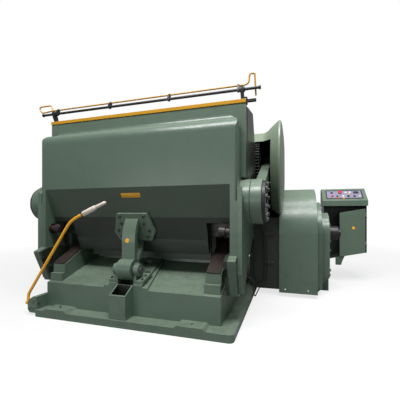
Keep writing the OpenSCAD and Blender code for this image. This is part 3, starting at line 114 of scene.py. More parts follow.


# %% [markdown]
# ## Paint
# Machine enamel is brushed or sprayed thick over filled cast iron. It gives a soft gloss with a faint
# orange peel, slow waves where the casting was filled, a little dust where a face looks up, and darker
# streaks of oil. The waves and the peel are noise of a real size in millimetres, fed to bump. The peel is
# drawn about 12 mm wide, coarser than it is, so that it shows at this distance.
#
# Three more touches are worked out from where a point lies, so that one material serves a whole casting,
# and all three are painted shade: a dark band below a given height where an overhang shades the face,
# near black on the faces that look into a hollow body, and darker flanks on the faces that look sideways.

# %% Enamel
def enamel(name, paint, shade, dust, roughness=0.36, dust_amount=0.5, wave=0.35, grime=0.35, shade_bands=(),
           hollow=None, sides=0.0):
    """Semi-gloss enamel: colour drifts between paint and shade, dust lies on faces that look up.
    Each shade band is (height, half width, amount): below that height, and this near the middle, painted
    shade darkens the paint by that amount. hollow is the middle of a hollow body: a face whose normal n
    has (p - hollow) . n < 0 looks inwards and gets near black painted shade. sides sets how much painted
    shade darkens the faces that look sideways."""
    material, tree, output = new_material(name)
    place = add_node(tree, "ShaderNodeTexCoord").outputs["Object"]
    # patches about 300 mm across, where the coat is thicker or thinner
    patches = add_node(tree, "ShaderNodeTexNoise", {"Vector": place, "Scale": 3.2, "Detail": 4.0,
                                                    "Roughness": 0.55})
    coat = add_node(tree, "ShaderNodeMix", {"Factor": patches.outputs["Fac"], 6: linear(paint),
                                            7: linear(shade)}, data_type="RGBA")
    # dust: strong where the normal points up, broken up by noise of about 60 mm
    normal = add_node(tree, "ShaderNodeNewGeometry").outputs["Normal"]
    up = add_node(tree, "ShaderNodeSeparateXYZ", {"Vector": normal}).outputs["Z"]
    facing_up = add_node(tree, "ShaderNodeMapRange", {"Value": up, "From Min": 0.45, "From Max": 1.0,
                                                     "To Min": 0.0, "To Max": dust_amount})
    grains = add_node(tree, "ShaderNodeTexNoise", {"Vector": place, "Scale": 16.0, "Detail": 6.0})
    spread = add_node(tree, "ShaderNodeMapRange", {"Value": grains.outputs["Fac"], "From Min": 0.25,
                                                  "From Max": 0.75, "To Min": 0.35, "To Max": 1.0})
    dusty = add_node(tree, "ShaderNodeMath", {0: facing_up.outputs[0], 1: spread.outputs[0]},
                     operation="MULTIPLY")
    dusted = add_node(tree, "ShaderNodeMix", {"Factor": dusty.outputs[0], 6: coat.outputs[2],
                                              7: linear(dust)}, data_type="RGBA")
    # oil: thin dark patches, more of them low on the machine
    height = add_node(tree, "ShaderNodeSeparateXYZ", {"Vector": place}).outputs["Z"]
    low = add_node(tree, "ShaderNodeMapRange", {"Value": height, "From Min": 1.2, "From Max": 0.0,
                                                "To Min": 0.3, "To Max": 1.0})
    smears = add_node(tree, "ShaderNodeTexNoise", {"Vector": place, "Scale": 7.0, "Detail": 8.0,
                                                   "Roughness": 0.7})
    oily = add_node(tree, "ShaderNodeMapRange", {"Value": smears.outputs["Fac"], "From Min": 0.52,
                                                 "From Max": 0.78, "To Min": 0.0, "To Max": grime})
    oil = add_node(tree, "ShaderNodeMath", {0: oily.outputs[0], 1: low.outputs[0]}, operation="MULTIPLY")
    colour = add_node(tree, "ShaderNodeMix", {"Factor": oil.outputs[0], 6: dusted.outputs[2],
                                              7: linear("#232a22")}, data_type="RGBA")
    if shade_bands:
        across = add_node(tree, "ShaderNodeSeparateXYZ", {"Vector": place}).outputs["X"]
        off = add_node(tree, "ShaderNodeMath", {0: across}, operation="ABSOLUTE")
    for top, half, amount in shade_bands:
        under = add_node(tree, "ShaderNodeMapRange", {"Value": height, "From Min": top + 0.004,
                                                      "From Max": top - 0.004, "To Min": 0.0,
                                                      "To Max": amount})
        inside = add_node(tree, "ShaderNodeMapRange", {"Value": off.outputs[0], "From Min": half,
                                                       "From Max": half - 0.012})
        grease_film_and_shade = add_node(tree, "ShaderNodeMath", {0: under.outputs[0], 1: inside.outputs[0]},
                        operation="MULTIPLY")
        # painted shade: under each band the paint is darkened towards near black
        colour = add_node(tree, "ShaderNodeMix", {"Factor": grease_film_and_shade.outputs[0], 6: colour.outputs[2],
                                                  7: linear("#10150f")}, data_type="RGBA")
    if hollow:
        # painted shade: faces that look into the hollow body go near black, standing in for its shadowed
        # inside
        arm = add_node(tree, "ShaderNodeVectorMath", {0: place, 1: hollow}, operation="SUBTRACT")
        outwards = add_node(tree, "ShaderNodeVectorMath", {0: arm.outputs[0], 1: normal},
                            operation="DOT_PRODUCT")
        inside_shade = add_node(tree, "ShaderNodeMapRange", {"Value": outwards.outputs["Value"],
                                                       "From Min": -0.002, "From Max": -0.006,
                                                       "To Min": 0.0, "To Max": 0.96})
        colour = add_node(tree, "ShaderNodeMix", {"Factor": inside_shade.outputs[0], 6: colour.outputs[2],
                                                  7: linear("#0a0b0a")}, data_type="RGBA")
    if sides:
        # painted shade: faces that look sideways along X are darkened, as flanks lying in shadow
        sideways = add_node(tree, "ShaderNodeSeparateXYZ", {"Vector": normal}).outputs["X"]
        flank = add_node(tree, "ShaderNodeMath", {0: sideways}, operation="ABSOLUTE")
        flank_shade = add_node(tree, "ShaderNodeMapRange", {"Value": flank.outputs[0], "From Min": 0.6,
                                                     "From Max": 0.9, "To Min": 0.0, "To Max": sides})
        colour = add_node(tree, "ShaderNodeMix", {"Factor": flank_shade.outputs[0], 6: colour.outputs[2],
                                                  7: linear("#121412")}, data_type="RGBA")
    rough = add_node(tree, "ShaderNodeMapRange", {"Value": grains.outputs["Fac"], "From Min": 0.3,
                                                  "From Max": 0.7, "To Min": roughness - 0.05,
                                                  "To Max": roughness + 0.07})
    rougher = add_node(tree, "ShaderNodeMath", {0: rough.outputs[0], 1: dusty.outputs[0]}, operation="ADD")
    waves = add_node(tree, "ShaderNodeTexNoise", {"Vector": place, "Scale": 6.0, "Detail": 1.0})
    peel = add_node(tree, "ShaderNodeTexNoise", {"Vector": place, "Scale": 80.0, "Detail": 2.0})
    slow = add_node(tree, "ShaderNodeBump", {"Height": waves.outputs["Fac"], "Strength": wave,
                                             "Distance": 0.012})
    fine = add_node(tree, "ShaderNodeBump", {"Height": peel.outputs["Fac"], "Strength": 0.12,
                                             "Distance": 0.001, "Normal": slow.outputs["Normal"]})
    shader = add_node(tree, "ShaderNodeBsdfPrincipled", {
        "Base Color": colour.outputs[2], "Roughness": rougher.outputs[0], "IOR": 1.5,
        "Normal": fine.outputs["Normal"], "Coat Weight": 0.25, "Coat Roughness": 0.22})
    tree.links.new(shader.outputs["BSDF"], output.inputs["Surface"])
    return material


# heights of the folds over and under the platen's recess, and the half width of the painted shade below
# them
RECESS_HIGH, RECESS_LOW, RECESS_SHADE_HALF = 1.312, 1.013, 1.02
GUARD_MIDDLE = (1.3, 1.495, 1.650)
GUARD_MIDDLE_LEFT = (-GUARD_MIDDLE[0], *GUARD_MIDDLE[1:])
CABINET_MIDDLE = (2.35, 2.56, 0.76)
TROUGH_MIDDLE = (0.0, -0.122, 0.25)

green_enamel = enamel("grey_green_enamel", "#5c7060", "#546758", "#84927f")
# the recess gets painted shade: a light band below the upper fold and a heavy one below the lower fold
platen_enamel = enamel("platen_enamel", "#55685a", "#4f6152", "#7f8d7b",
                       shade_bands=((RECESS_HIGH, RECESS_SHADE_HALF, 0.36), (RECESS_LOW, RECESS_SHADE_HALF, 0.80)))
dark_enamel = enamel("dark_oily_enamel", "#2c352d", "#20271f", "#454d3e", roughness=0.42, grime=0.6)
# painted shade: the trough's inside faces are laid near black
trough_enamel = enamel("trough_enamel", "#5c7060", "#546758", "#84927f", hollow=TROUGH_MIDDLE)
# painted shade on the bed: its sideways faces beside the platen are darkened nearly to black
bed_enamel = enamel("bed_enamel", "#3d4a40", "#323d34", "#59644f", roughness=0.42, grime=0.5, sides=0.93)
# near black: real grease on the gears, deepened as painted shade inside their guards, and painted shade on
# the gap sheets
grease_and_shade_black = enamel("grease_and_shade_black", "#1b1e1a", "#131511", "#2a2c26", roughness=0.5, grime=0.6,
                    dust_amount=0.3)
pale_enamel = enamel("pale_green_enamel", "#7b8a79", "#6f7e6e", "#8f9484", roughness=0.4, dust_amount=0.6)
# painted shade: the inside faces of each gear guard are laid near black
guard_left_enamel = enamel("guard_left_enamel", "#74836f", "#687664", "#868c7a", roughness=0.38,
                           dust_amount=0.4, hollow=GUARD_MIDDLE_LEFT)
guard_right_enamel = enamel("guard_right_enamel", "#74836f", "#687664", "#868c7a", roughness=0.38,
                            dust_amount=0.4, hollow=GUARD_MIDDLE)
# painted shade: the console cabinet's inside faces are laid near black
cabinet_enamel = enamel("cabinet_enamel", "#5c7060", "#546758", "#84927f", hollow=CABINET_MIDDLE)
# painted shade on the back plate: its sideways faces and everything below 1.05 m are darkened
plate_enamel = enamel("back_plate_enamel", "#5a6d5e", "#536556", "#7f8d7b", sides=0.9,
                      shade_bands=((1.05, 1.2, 0.9),))
greasy_track = enamel("greasy_track", "#2b1a15", "#17110e", "#3a2a22", roughness=0.45, grime=0.6,
                      dust_amount=0.3)
yellow_enamel = enamel("safety_yellow_enamel", "#cc9514", "#bd880f", "#bf9c4c", roughness=0.32, wave=0.1,
                       grime=0.25)
lever_enamel = enamel("lever_yellow_enamel", "#ffb820", "#fbae14", "#f0bf5c", roughness=0.3, wave=0.08,
                      grime=0.15)
print("enamels made")

# %% [markdown]
# ## Black parts and rubber
# Shafts and brackets are brushed with a satin black that hides oil. Belts, cable sheaths and switch boxes
# are darker and more matt.

# %% Blacks
def satin_black(name, colour, roughness, grain=90.0):
    """A dark satin or rubber finish with a faint grain, so that its highlights break up."""
    material, tree, output = new_material(name)
    place = add_node(tree, "ShaderNodeTexCoord").outputs["Object"]
    noise = add_node(tree, "ShaderNodeTexNoise", {"Vector": place, "Scale": grain, "Detail": 3.0})
    tone = add_node(tree, "ShaderNodeMix", {"Factor": noise.outputs["Fac"], 6: linear(colour),
                                            7: linear("#3b3a38")}, data_type="RGBA")
    softer = add_node(tree, "ShaderNodeMix", {"Factor": 0.75, 6: tone.outputs[2], 7: linear(colour)},
                      data_type="RGBA")
    bump = add_node(tree, "ShaderNodeBump", {"Height": noise.outputs["Fac"], "Strength": 0.15,
                                             "Distance": 0.001})
    shader = add_node(tree, "ShaderNodeBsdfPrincipled", {"Base Color": softer.outputs[2],
                                                         "Roughness": roughness,
                                                         "Normal": bump.outputs["Normal"], "IOR": 1.5})
    tree.links.new(shader.outputs["BSDF"], output.inputs["Surface"])
    return material


black_enamel = satin_black("satin_black_enamel", "#141416", 0.42)
belt_rubber = satin_black("belt_rubber", "#17171a", 0.75)
cable_sheath = satin_black("cable_sheath_rubber", "#1b1c1f", 0.6)
black_plastic = satin_black("black_moulded_plastic", "#18181a", 0.45)
print("blacks made")

# %% [markdown]
# ## Bare metal
# Turned and ground steel carries fine tool lines and a film of oil, and the guide tracks and rollers carry
# brown grease. Steel is a metal, so its colour is its reflection; the grease is a rough, dark film over it.

# %% Steels
def machined_steel(name, colour, roughness, grease, grease_amount):
    """Machined metal, partly covered by a rough film of grease in patches about 80 mm across."""
    material, tree, output = new_material(name)
    place = add_node(tree, "ShaderNodeTexCoord").outputs["Object"]
    lines = add_node(tree, "ShaderNodeTexNoise", {"Vector": place, "Scale": 240.0, "Detail": 2.0})
    grease_film_and_shade = add_node(tree, "ShaderNodeTexNoise", {"Vector": place, "Scale": 5.0, "Detail": 5.0,
                                                 "Roughness": 0.5})
    cover = add_node(tree, "ShaderNodeMapRange", {"Value": grease_film_and_shade.outputs["Fac"], "From Min": 0.35,
                                                  "From Max": 0.8, "To Min": 0.0, "To Max": grease_amount})
    colour_mix = add_node(tree, "ShaderNodeMix", {"Factor": cover.outputs[0], 6: linear(colour),
                                                  7: linear(grease)}, data_type="RGBA")
    rough = add_node(tree, "ShaderNodeMapRange", {"Value": cover.outputs[0], "To Min": roughness,
                                                  "To Max": 0.6})
    metal = add_node(tree, "ShaderNodeMapRange", {"Value": cover.outputs[0], "To Min": 1.0, "To Max": 0.1})
    bump = add_node(tree, "ShaderNodeBump", {"Height": lines.outputs["Fac"], "Strength": 0.12,
                                             "Distance": 0.0006})
    shader = add_node(tree, "ShaderNodeBsdfPrincipled", {
        "Base Color": colour_mix.outputs[2], "Roughness": rough.outputs[0], "Metallic": metal.outputs[0],
        "Normal": bump.outputs["Normal"]})
    tree.links.new(shader.outputs["BSDF"], output.inputs["Surface"])
    return material


ground_steel = machined_steel("ground_steel", "#74767a", 0.34, "#3a342e", 0.6)
dull_steel = machined_steel("oiled_bolt_steel", "#77797b", 0.3, "#2a2724", 0.7)
print("steels made")

# %% [markdown]
# ## Plastics, film and glass
# The grip is a worn pale plastic, the panel a printed grey-lilac film on aluminium, and the buttons are
# glossy moulded caps. The lamps are frosted lenses.

# %% Plastics
def moulded(name, colour, roughness, stain=0.0):
    """Moulded plastic: one colour, a slight mottling and, on a worn piece, a brown stain."""
    material, tree, output = new_material(name)
    place = add_node(tree, "ShaderNodeTexCoord").outputs["Object"]
    noise = add_node(tree, "ShaderNodeTexNoise", {"Vector": place, "Scale": 38.0, "Detail": 5.0})
    worn = add_node(tree, "ShaderNodeMapRange", {"Value": noise.outputs["Fac"], "From Min": 0.5,
                                                 "From Max": 0.8, "To Min": 0.0, "To Max": 0.06 + stain})
    colour_mix = add_node(tree, "ShaderNodeMix", {"Factor": worn.outputs[0], 6: linear(colour),
                                                  7: linear("#4a3c30")}, data_type="RGBA")
    bump = add_node(tree, "ShaderNodeBump", {"Height": noise.outputs["Fac"], "Strength": 0.08,
                                             "Distance": 0.0008})
    shader = add_node(tree, "ShaderNodeBsdfPrincipled", {"Base Color": colour_mix.outputs[2],
                                                         "Roughness": roughness,
                                                         "Normal": bump.outputs["Normal"], "IOR": 1.49})
    tree.links.new(shader.outputs["BSDF"], output.inputs["Surface"])
    return material


grip_plastic = moulded("worn_beige_grip_plastic", "#e6d8cb", 0.45, stain=0.25)
panel_film = moulded("grey_lilac_panel_film", "#8c88a0", 0.4)
green_cap = moulded("green_button_plastic", "#2f8a4c", 0.25)
red_cap = moulded("red_button_plastic", "#dc2f3e", 0.25)
lamp_lens = moulded("frosted_lamp_lens", "#f4f2ee", 0.2)
yellow_cap = moulded("yellow_button_plastic", "#e8b418", 0.25)
print("plastics made")

# %% [markdown]
# ## Putting a piece in the scene
# A piece rides on a body, so that it moves when the press opens. If it stands for a solid of the frame,
# that solid is hidden.

# %% Piece helper
SLOT_OF_NODE = {s["node"]: s["material_slot"] for s in frame["record"]["subparts"]}


def place_piece(piece, material, body, slot, *replaced):
    """Gives a finished object its material, its body and the nodes that it stands for; slot is not used."""
    if piece.name not in bpy.context.scene.collection.objects:
        bpy.context.scene.collection.objects.link(piece)
    piece.data.materials.clear()
    piece.data.materials.append(material)
    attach(piece, body)
    if replaced:
        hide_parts(*replaced)
    return piece


# %% [markdown]
# ## Castings with rounded edges
# A casting never has a sharp edge: the pattern is filleted and the paint rounds it further, and those
# edges catch thin lines of light. The solids of the frame are sharp, so each is copied, its loose
# triangles are merged back into whole faces, and a Bevel modifier rounds every edge by a real radius.

# %% Rounded copies
def rounded_copy(node, radius, material, steps=2, slot=None, crease=38):
    """Copies a node, merges its faces and rounds its sharp edges by the radius in metres."""
    mesh = nodes[node].data.copy()
    work = bmesh.new()
    work.from_mesh(mesh)
    bmesh.ops.remove_doubles(work, verts=work.verts[:], dist=2e-5)
    bmesh.ops.dissolve_limit(work, angle_limit=math.radians(0.6), verts=work.verts[:], edges=work.edges[:])
    work.to_mesh(mesh)
    work.free()
    mesh.shade_smooth()
    mesh.set_sharp_from_angle(angle=math.radians(crease))
    piece = bpy.data.objects.new(node + "_dressed", mesh)
    bevel = piece.modifiers.new("rounded_edges", "BEVEL")
    bevel.width = radius
    bevel.segments = steps
    bevel.limit_method = "ANGLE"
    bevel.angle_limit = math.radians(min(crease, 30))
    bevel.use_clamp_overlap = True
    weighted = piece.modifiers.new("flat_faces", "WEIGHTED_NORMAL")
    weighted.keep_sharp = True
    return place_piece(piece, material, body_of_node[node], slot or SLOT_OF_NODE[node], node)


EDGE_RADII = {
    green_enamel: dict(base_casting=0.008, hinge_bracket=0.007, lever_bracket=0.007, side_frame_left=0.008,
                       side_frame_right=0.008, outboard_stand=0.006, drive_motor=0.002,
                       console_hood=0.004, console_door=0.003, trunnion_hubs=0.009, hinge_arm=0.006,
                       connecting_rod_left=0.008, connecting_rod_right=0.008, flywheel_cover=0.002,
                       clutch_housing=0.004),
    platen_enamel: dict(platen_casting=0.006),
    plate_enamel: dict(back_plate=0.006),
    cabinet_enamel: dict(console_cabinet=0.002),
    guard_left_enamel: dict(gear_guard_left=0.001),
    guard_right_enamel: dict(gear_guard_right=0.001),
    # the gears inside their guards take the near black: their grease and painted shade together
    grease_and_shade_black: dict(crank_gears=0.002, intermediate_gear=0.002),
    greasy_track: dict(guide_rails=0.002, guide_rollers=0.002),
    bed_enamel: dict(bed_casting=0.010),
    trough_enamel: dict(oil_trough=0.004),
    dark_enamel: dict(die_chase=0.002, flywheel=0.003, motor_pulley=0.001, motor_base=0.002,
                      hinge_bracket_bolts=0.002, hinge_arm_bolts=0.002),
    pale_enamel: dict(bearing_caps=0.003),
    yellow_enamel: dict(top_bar=0.003),
    black_enamel: dict(shaft_brackets=0.002, control_shaft=0.001, rod_cap_left=0.003, rod_cap_right=0.003,
                       clutch_cylinder=0.004, console_stand=0.003),
    ground_steel: dict(hinge_pin=0.002, cutting_plate=0.001, crankshaft=0.002, intermediate_shaft=0.002,
                       clutch_shaft=0.002, cable_glands=0.001),
    dull_steel: dict(stand_bolts=0.001, rod_cap_bolts_left=0.001, rod_cap_bolts_right=0.001),
    belt_rubber: dict(drive_belts=0.001),
    panel_film: dict(control_plate=0.0008),
    green_cap: dict(start_button=0.001),
    red_cap: dict(stop_button=0.001, emergency_stop=0.002),
    black_plastic: dict(selector_knob=0.001),
    lamp_lens: dict(pilot_lamps=0.001),
}
# the platen's folds are shallow, so its faces are kept apart from a smaller angle
CREASES = {"platen_casting": 12}
for material, radii in EDGE_RADII.items():
    for node, radius in radii.items():
        rounded_copy(node, radius, material, crease=CREASES.get(node, 38))
print("rounded copies:", sum(len(r) for r in EDGE_RADII.values()))

# %% [markdown]
# ## Surfaces from formulas
# Bent bars, turned drums and pressed covers are surfaces with a simple rule, so their points are worked out
# with numpy: a grid of points, joined by four-sided faces. These helpers turn such a grid into a mesh.

# %% Grid helper
def grid_mesh(name, points, wrap_u=False, wrap_v=False, caps=False):
    """Joins a grid points[u, v] by quads; wrap closes a direction, caps closes both ends of u."""
    count_u, count_v = points.shape[:2]
    index = np.arange(count_u * count_v).reshape(count_u, count_v)
    if wrap_u:
        index = np.vstack([index, index[:1]])
    if wrap_v:
        index = np.hstack([index, index[:, :1]])
    quads = np.stack([index[:-1, :-1], index[1:, :-1], index[1:, 1:], index[:-1, 1:]], -1).reshape(-1, 4)
    faces = quads.tolist()
    if caps:
        faces += [index[0, :count_v].tolist(), index[-1, :count_v][::-1].tolist()]
    mesh = bpy.data.meshes.new(name)
    mesh.from_pydata(points.reshape(-1, 3).tolist(), [], faces)
    work = bmesh.new()
    work.from_mesh(mesh)
    bmesh.ops.remove_doubles(work, verts=work.verts[:], dist=1e-6)
    bmesh.ops.recalc_face_normals(work, faces=work.faces[:])
    work.to_mesh(mesh)
    work.free()
    mesh.shade_smooth()
    mesh.set_sharp_from_angle(angle=math.radians(38))
    return bpy.data.objects.new(name, mesh)


def joined(name, *objects):
    """One object out of several: their vertices and faces are put in one mesh."""
    work = bmesh.new()
    for each in objects:
        work.from_mesh(each.data)
        bpy.data.objects.remove(each)
    mesh = bpy.data.meshes.new(name)
    work.to_mesh(mesh)
    work.free()
    return bpy.data.objects.new(name, mesh)


def rounded_path(points, bend, steps=7):
    """Straight runs with bends: corner b becomes (1-t)^2 p + 2t(1-t) b + t^2 q, p and q one bend away."""
    points = np.asarray(points, float)
    corner = points[1:-1]
    back, ahead = points[:-2] - corner, points[2:] - corner
    length_back = np.linalg.norm(back, axis=1, keepdims=True)
    length_ahead = np.linalg.norm(ahead, axis=1, keepdims=True)
    start = corner + back / length_back * np.minimum(bend, 0.48 * length_back)
    end = corner + ahead / length_ahead * np.minimum(bend, 0.48 * length_ahead)
    t = np.linspace(0, 1, steps)[None, :, None]
    arcs = (1 - t) ** 2 * start[:, None] + 2 * t * (1 - t) * corner[:, None] + t ** 2 * end[:, None]
    return np.vstack([points[:1], arcs.reshape(-1, 3), points[-1:]])


def flat_tube(name, path, radius, across, sides=20):
    """Tube along a flat path: p + r (cos a * across + sin a * up), where up = heading x across."""
    heading = np.gradient(path, axis=0)
    heading /= np.linalg.norm(heading, axis=1, keepdims=True)
    across = np.asarray(across, float)
    up = np.cross(heading, across)
    angle = np.linspace(0, 2 * np.pi, sides, endpoint=False)
    radius = np.broadcast_to(radius, len(path))[:, None, None]
    ring = np.cos(angle)[None, :, None] * across + np.sin(angle)[None, :, None] * up[:, None, :]
    return grid_mesh(name, path[:, None, :] + radius * ring, wrap_v=True, caps=True)


def turned(name, profile, centre, axis, sides=48):
    """Turned piece: profile rows are (distance along the axis, radius), swept round the axis."""
    axis = np.asarray(axis, float) / np.linalg.norm(axis)
    helper = np.array([0.0, 1.0, 0.0]) if abs(axis[1]) < 0.9 else np.array([1.0, 0.0, 0.0])
    side = np.cross(axis, helper)
    side /= np.linalg.norm(side)
    up = np.cross(axis, side)
    profile = np.asarray(profile, float)
    angle = np.linspace(0, 2 * np.pi, sides, endpoint=False)
    ring = np.cos(angle)[None, :, None] * side + np.sin(angle)[None, :, None] * up
    points = np.asarray(centre) + profile[:, :1, None] * axis + profile[:, 1:, None] * ring
    return grid_mesh(name, points, wrap_v=True, caps=True)


# %% Length of a path
def path_length(points):
    """Sum of the straight steps between neighbouring points."""
    return float(np.linalg.norm(np.diff(points, axis=0), axis=1).sum())


print("a step of 3 along and 4 up is", path_length(np.array([[0.0, 0.0], [3.0, 4.0]])), "long")

# %% [markdown]
# ## The safety rod
# A thin yellow rod runs the whole width above the control shaft. It is one bar bent cold round a former,
# with a hand loop at each end. A path with rounded corners and a constant section is exactly that.

# %% Safety rod
ROD_Y, ROD_Z, ROD_RADIUS = 0.221, 2.265, 0.008


def rod_path(corners):
    """Corners given as x and height over the rod's line, in millimetres, in the rod's plane."""
    corners = np.asarray(corners, float) / 1000.0
    return np.stack([corners[:, 0], np.full(len(corners), ROD_Y), ROD_Z + corners[:, 1]], axis=1)


LOOP_CORNERS = [[-1150, 0], [-1165, 50], [-1180, 66], [-1335, 66], [-1350, 50], [-1322, 0], [-1300, -10],
                [-1150, 0]]
RUN_CORNERS = [[-1150, 0], [1130, 0], [1158, 20], [1164, 92], [1170, 98], [1206, 98], [1212, 92],
               [1222, -112]]
left_loop = rounded_path(rod_path(LOOP_CORNERS), 0.020)
long_run = rounded_path(rod_path(RUN_CORNERS), 0.022)
rod_parts = [flat_tube("rod_loop", left_loop, ROD_RADIUS, (0, 1, 0)),
             flat_tube("rod_run", long_run, ROD_RADIUS, (0, 1, 0))]
place_piece(joined("safety_rod_bar", *rod_parts), yellow_enamel, "safety_bar", "yellow_enamel",
            "safety_rod")
print("safety rod:", round(path_length(long_run), 2), "m of bar")

# The links that clamp the rod to the shaft are flat black plates, one at each of four places.
SHAFT_Y, SHAFT_Z = 0.195, 2.213
link_outline = np.array([
    [SHAFT_Y - .020, SHAFT_Z - .018], [SHAFT_Y - .020, SHAFT_Z + .016], [ROD_Y - .014, ROD_Z + .008],
    [ROD_Y + .006, ROD_Z + .010], [ROD_Y + .012, ROD_Z - .004], [SHAFT_Y + .024, SHAFT_Z - .004],
    [SHAFT_Y + .016, SHAFT_Z - .018]])


def plate_across(name, outline, x_low, x_high):
    """Flat plate: an outline in y and z, drawn at two places along X and joined."""
    ends = [np.column_stack([np.full(len(outline), x), outline]) for x in (x_low, x_high)]
    return grid_mesh(name, np.stack(ends), wrap_v=True, caps=True)


links = joined("rod_links", *[plate_across(f"link_{k}", link_outline, x - 0.009, x + 0.009)
                              for k, x in enumerate((-1.060, -0.350, 0.350, 1.060))])
place_piece(links, black_enamel, "safety_bar", "black_enamel")

# %% [markdown]
# ## Dark sheets and small pipes beside the drive
# Thin sheets close the gaps at the back of the frame, so that no daylight shows through the drive. Their
# near black is painted shade: they stand where the drive's inside lies in shadow. Two grease pipes run
# down the drive's front panel from the side frame to its foot, and a short stud stands on the left foot
# flange.

# %% Sheets, pipes and stud
RAIL_END_Y, APRON_FOOT_Z = 0.560, 0.560
FRAME_IN_X, FRAME_OUT_X, APRON_X = 0.940, 1.080, 0.740
ROD_SIDE_X, COVER_SIDE_X = 1.306, 1.3995
SHEET, GAP = 0.008, 0.002
SCREEN_Y, SCREEN_FOOT_Z, SCREEN_SHEET = 1.975, 0.600, 0.010


def upright_sheet(name, x_low, x_high, y, z_low, z_high, sheet):
    """Flat sheet across X: the rectangle y..y + sheet by z_low..z_high, drawn at x_low and x_high."""
    outline = np.array([[y, z_low], [y + sheet, z_low], [y + sheet, z_high], [y, z_high]])
    return plate_across(name, outline, x_low, x_high)


# the wings behind the bed are near black as painted shade of the gap there
wing_y, wing_top_z = RAIL_END_Y + 0.042, APRON_FOOT_Z + 0.265
wing_spans = [(-FRAME_IN_X + GAP / 2, -APRON_X - GAP), (APRON_X + GAP, FRAME_IN_X - GAP / 2)]
wings = joined("bed_wings", *[upright_sheet(f"wing_{k}", low, high, wing_y, APRON_FOOT_Z, wing_top_z, SHEET)
                              for k, (low, high) in enumerate(wing_spans)])
place_piece(wings, grease_and_shade_black, "frame", "dark_green_enamel")

# the rear screen is near black as painted shade of the drive's inside
screen_spans = [(FRAME_OUT_X + 0.0005, ROD_SIDE_X, 1.525), (ROD_SIDE_X, COVER_SIDE_X, 1.250)]
screens = [upright_sheet(f"screen_{k}", low, high, SCREEN_Y, SCREEN_FOOT_Z, top, SCREEN_SHEET)
           for k, (low, high, top) in enumerate(screen_spans)]
place_piece(joined("rear_screen", *screens), grease_and_shade_black, "frame", "dark_green_enamel")


def pipe_path(y, corners):
    """Corners given as x and z in the upright plane at this y, rounded by 40 mm."""
    corners = np.array(corners)
    return rounded_path(np.column_stack([corners[:, 0], np.full(len(corners), y), corners[:, 1]]), 0.040)


PIPE_RADIUS = 0.0045
pipe_parts = []
for k, (y, high, reach) in enumerate(((1.305, 0.95, 0.0), (1.292, 0.86, 0.035))):
    path = pipe_path(y, [[FRAME_OUT_X, high], [1.15 + reach, high - 0.03], [1.19 + reach, high - 0.15],
                         [1.215 + reach, 0.44], [1.20 + reach, 0.16], [FRAME_OUT_X, 0.125 + k * 0.03]])
    pipe_parts.append(flat_tube(f"pipe_{k}", path, PIPE_RADIUS, (0, 1, 0), sides=10))
place_piece(joined("grease_pipes", *pipe_parts), black_plastic, "frame", "cable_sheath")

FLANGE_TOP = 0.068
stud = turned("anchor_stud", [[0.0, 0.014], [0.010, 0.014], [0.010, 0.007], [0.046, 0.007], [0.048, 0.005]],
              (-0.706, -0.127, FLANGE_TOP), (0, 0, 1), sides=16)
place_piece(stud, dull_steel, "frame", "bare_steel")
print("sheets:", len(wing_spans) + len(screen_spans), "pipes:", len(pipe_parts))

# %% [markdown]
# ## The clutch lever
# The operator's lever is a yellow steel tube that leans in from the left corner of the base and bends
# towards the middle. Its grip is a worn pale sleeve, thick at the hand and thin at the tip, with a black
# rubber ring where it begins. The tube is a path again; the grip is turned.

# %% Lever
LEVER_Y = -0.165
LEVER_RADIUS = 0.0145
LEVER_PIVOT = (-1.085, LEVER_Y, 0.126)
PIN_START, PIN_RADIUS, PIN_LENGTH = (-1.0684, LEVER_Y, 0.126), 0.012, 0.126
lever_corners = np.array([[-1085, 126], [-1088, 205], [-583, 925], [-560, 955], [-495, 1003], [-396, 1047],
                          [-360, 1062.575]]) / 1000.0
lever_points = np.insert(lever_corners, 1, LEVER_Y, axis=1)
lever_line = rounded_path(lever_points, 0.035)
lever_tube = flat_tube("lever_tube", lever_line, LEVER_RADIUS, (0, 1, 0), sides=24)
lever_boss = turned("lever_boss", [[-0.017, 0.020], [-0.015, 0.024], [0.0160, 0.024], [0.0166, 0.023]],
                    LEVER_PIVOT, (1, 0, 0))
place_piece(joined("lever_bar", lever_tube, lever_boss), lever_enamel, "lever", "yellow_enamel",
            "clutch_lever")
lever_pin = turned("lever_pin", [[0.0, PIN_RADIUS], [PIN_LENGTH, PIN_RADIUS]], PIN_START, (1, 0, 0))
place_piece(lever_pin, ground_steel, "lever", "bare_steel")

GRIP_START = (-0.396, LEVER_Y, 1.047)
GRIP_WAY = (0.141, 0.0, 0.061)
grip = turned("lever_grip_sleeve", [[0.000, 0.0152], [0.000, 0.022], [0.004, 0.025], [0.060, 0.0245],
                                    [0.140, 0.025], [0.152, 0.0225], [0.156, 0.0175], [0.262, 0.0165],
                                    [0.276, 0.0120], [0.2815, 0.004]], GRIP_START, GRIP_WAY)
place_piece(grip, grip_plastic, "lever", "grip_plastic", "lever_grip")
ring_place = np.array(GRIP_START) - 0.0135 * np.array(GRIP_WAY) / np.linalg.norm(GRIP_WAY)
collar = turned("lever_collar", [[0.0, 0.0150], [0.0, 0.0195], [0.003, 0.0215], [0.010, 0.0215],
                                 [0.0132, 0.0195], [0.0132, 0.0150]], ring_place, GRIP_WAY)
place_piece(collar, black_plastic, "lever", "belt_rubber")
print("lever tube:", round(path_length(lever_line), 2), "m")

# %% [markdown]
# ## The control panel
# The panel is a printed film on a plate, let into the sloped hood under a thin black frame. Besides the
# buttons that move, it has small fixed caps, two knobs and a dark display window. Each is placed by its
# distance across the slope and up it, so one function turns those two numbers into a point in space.

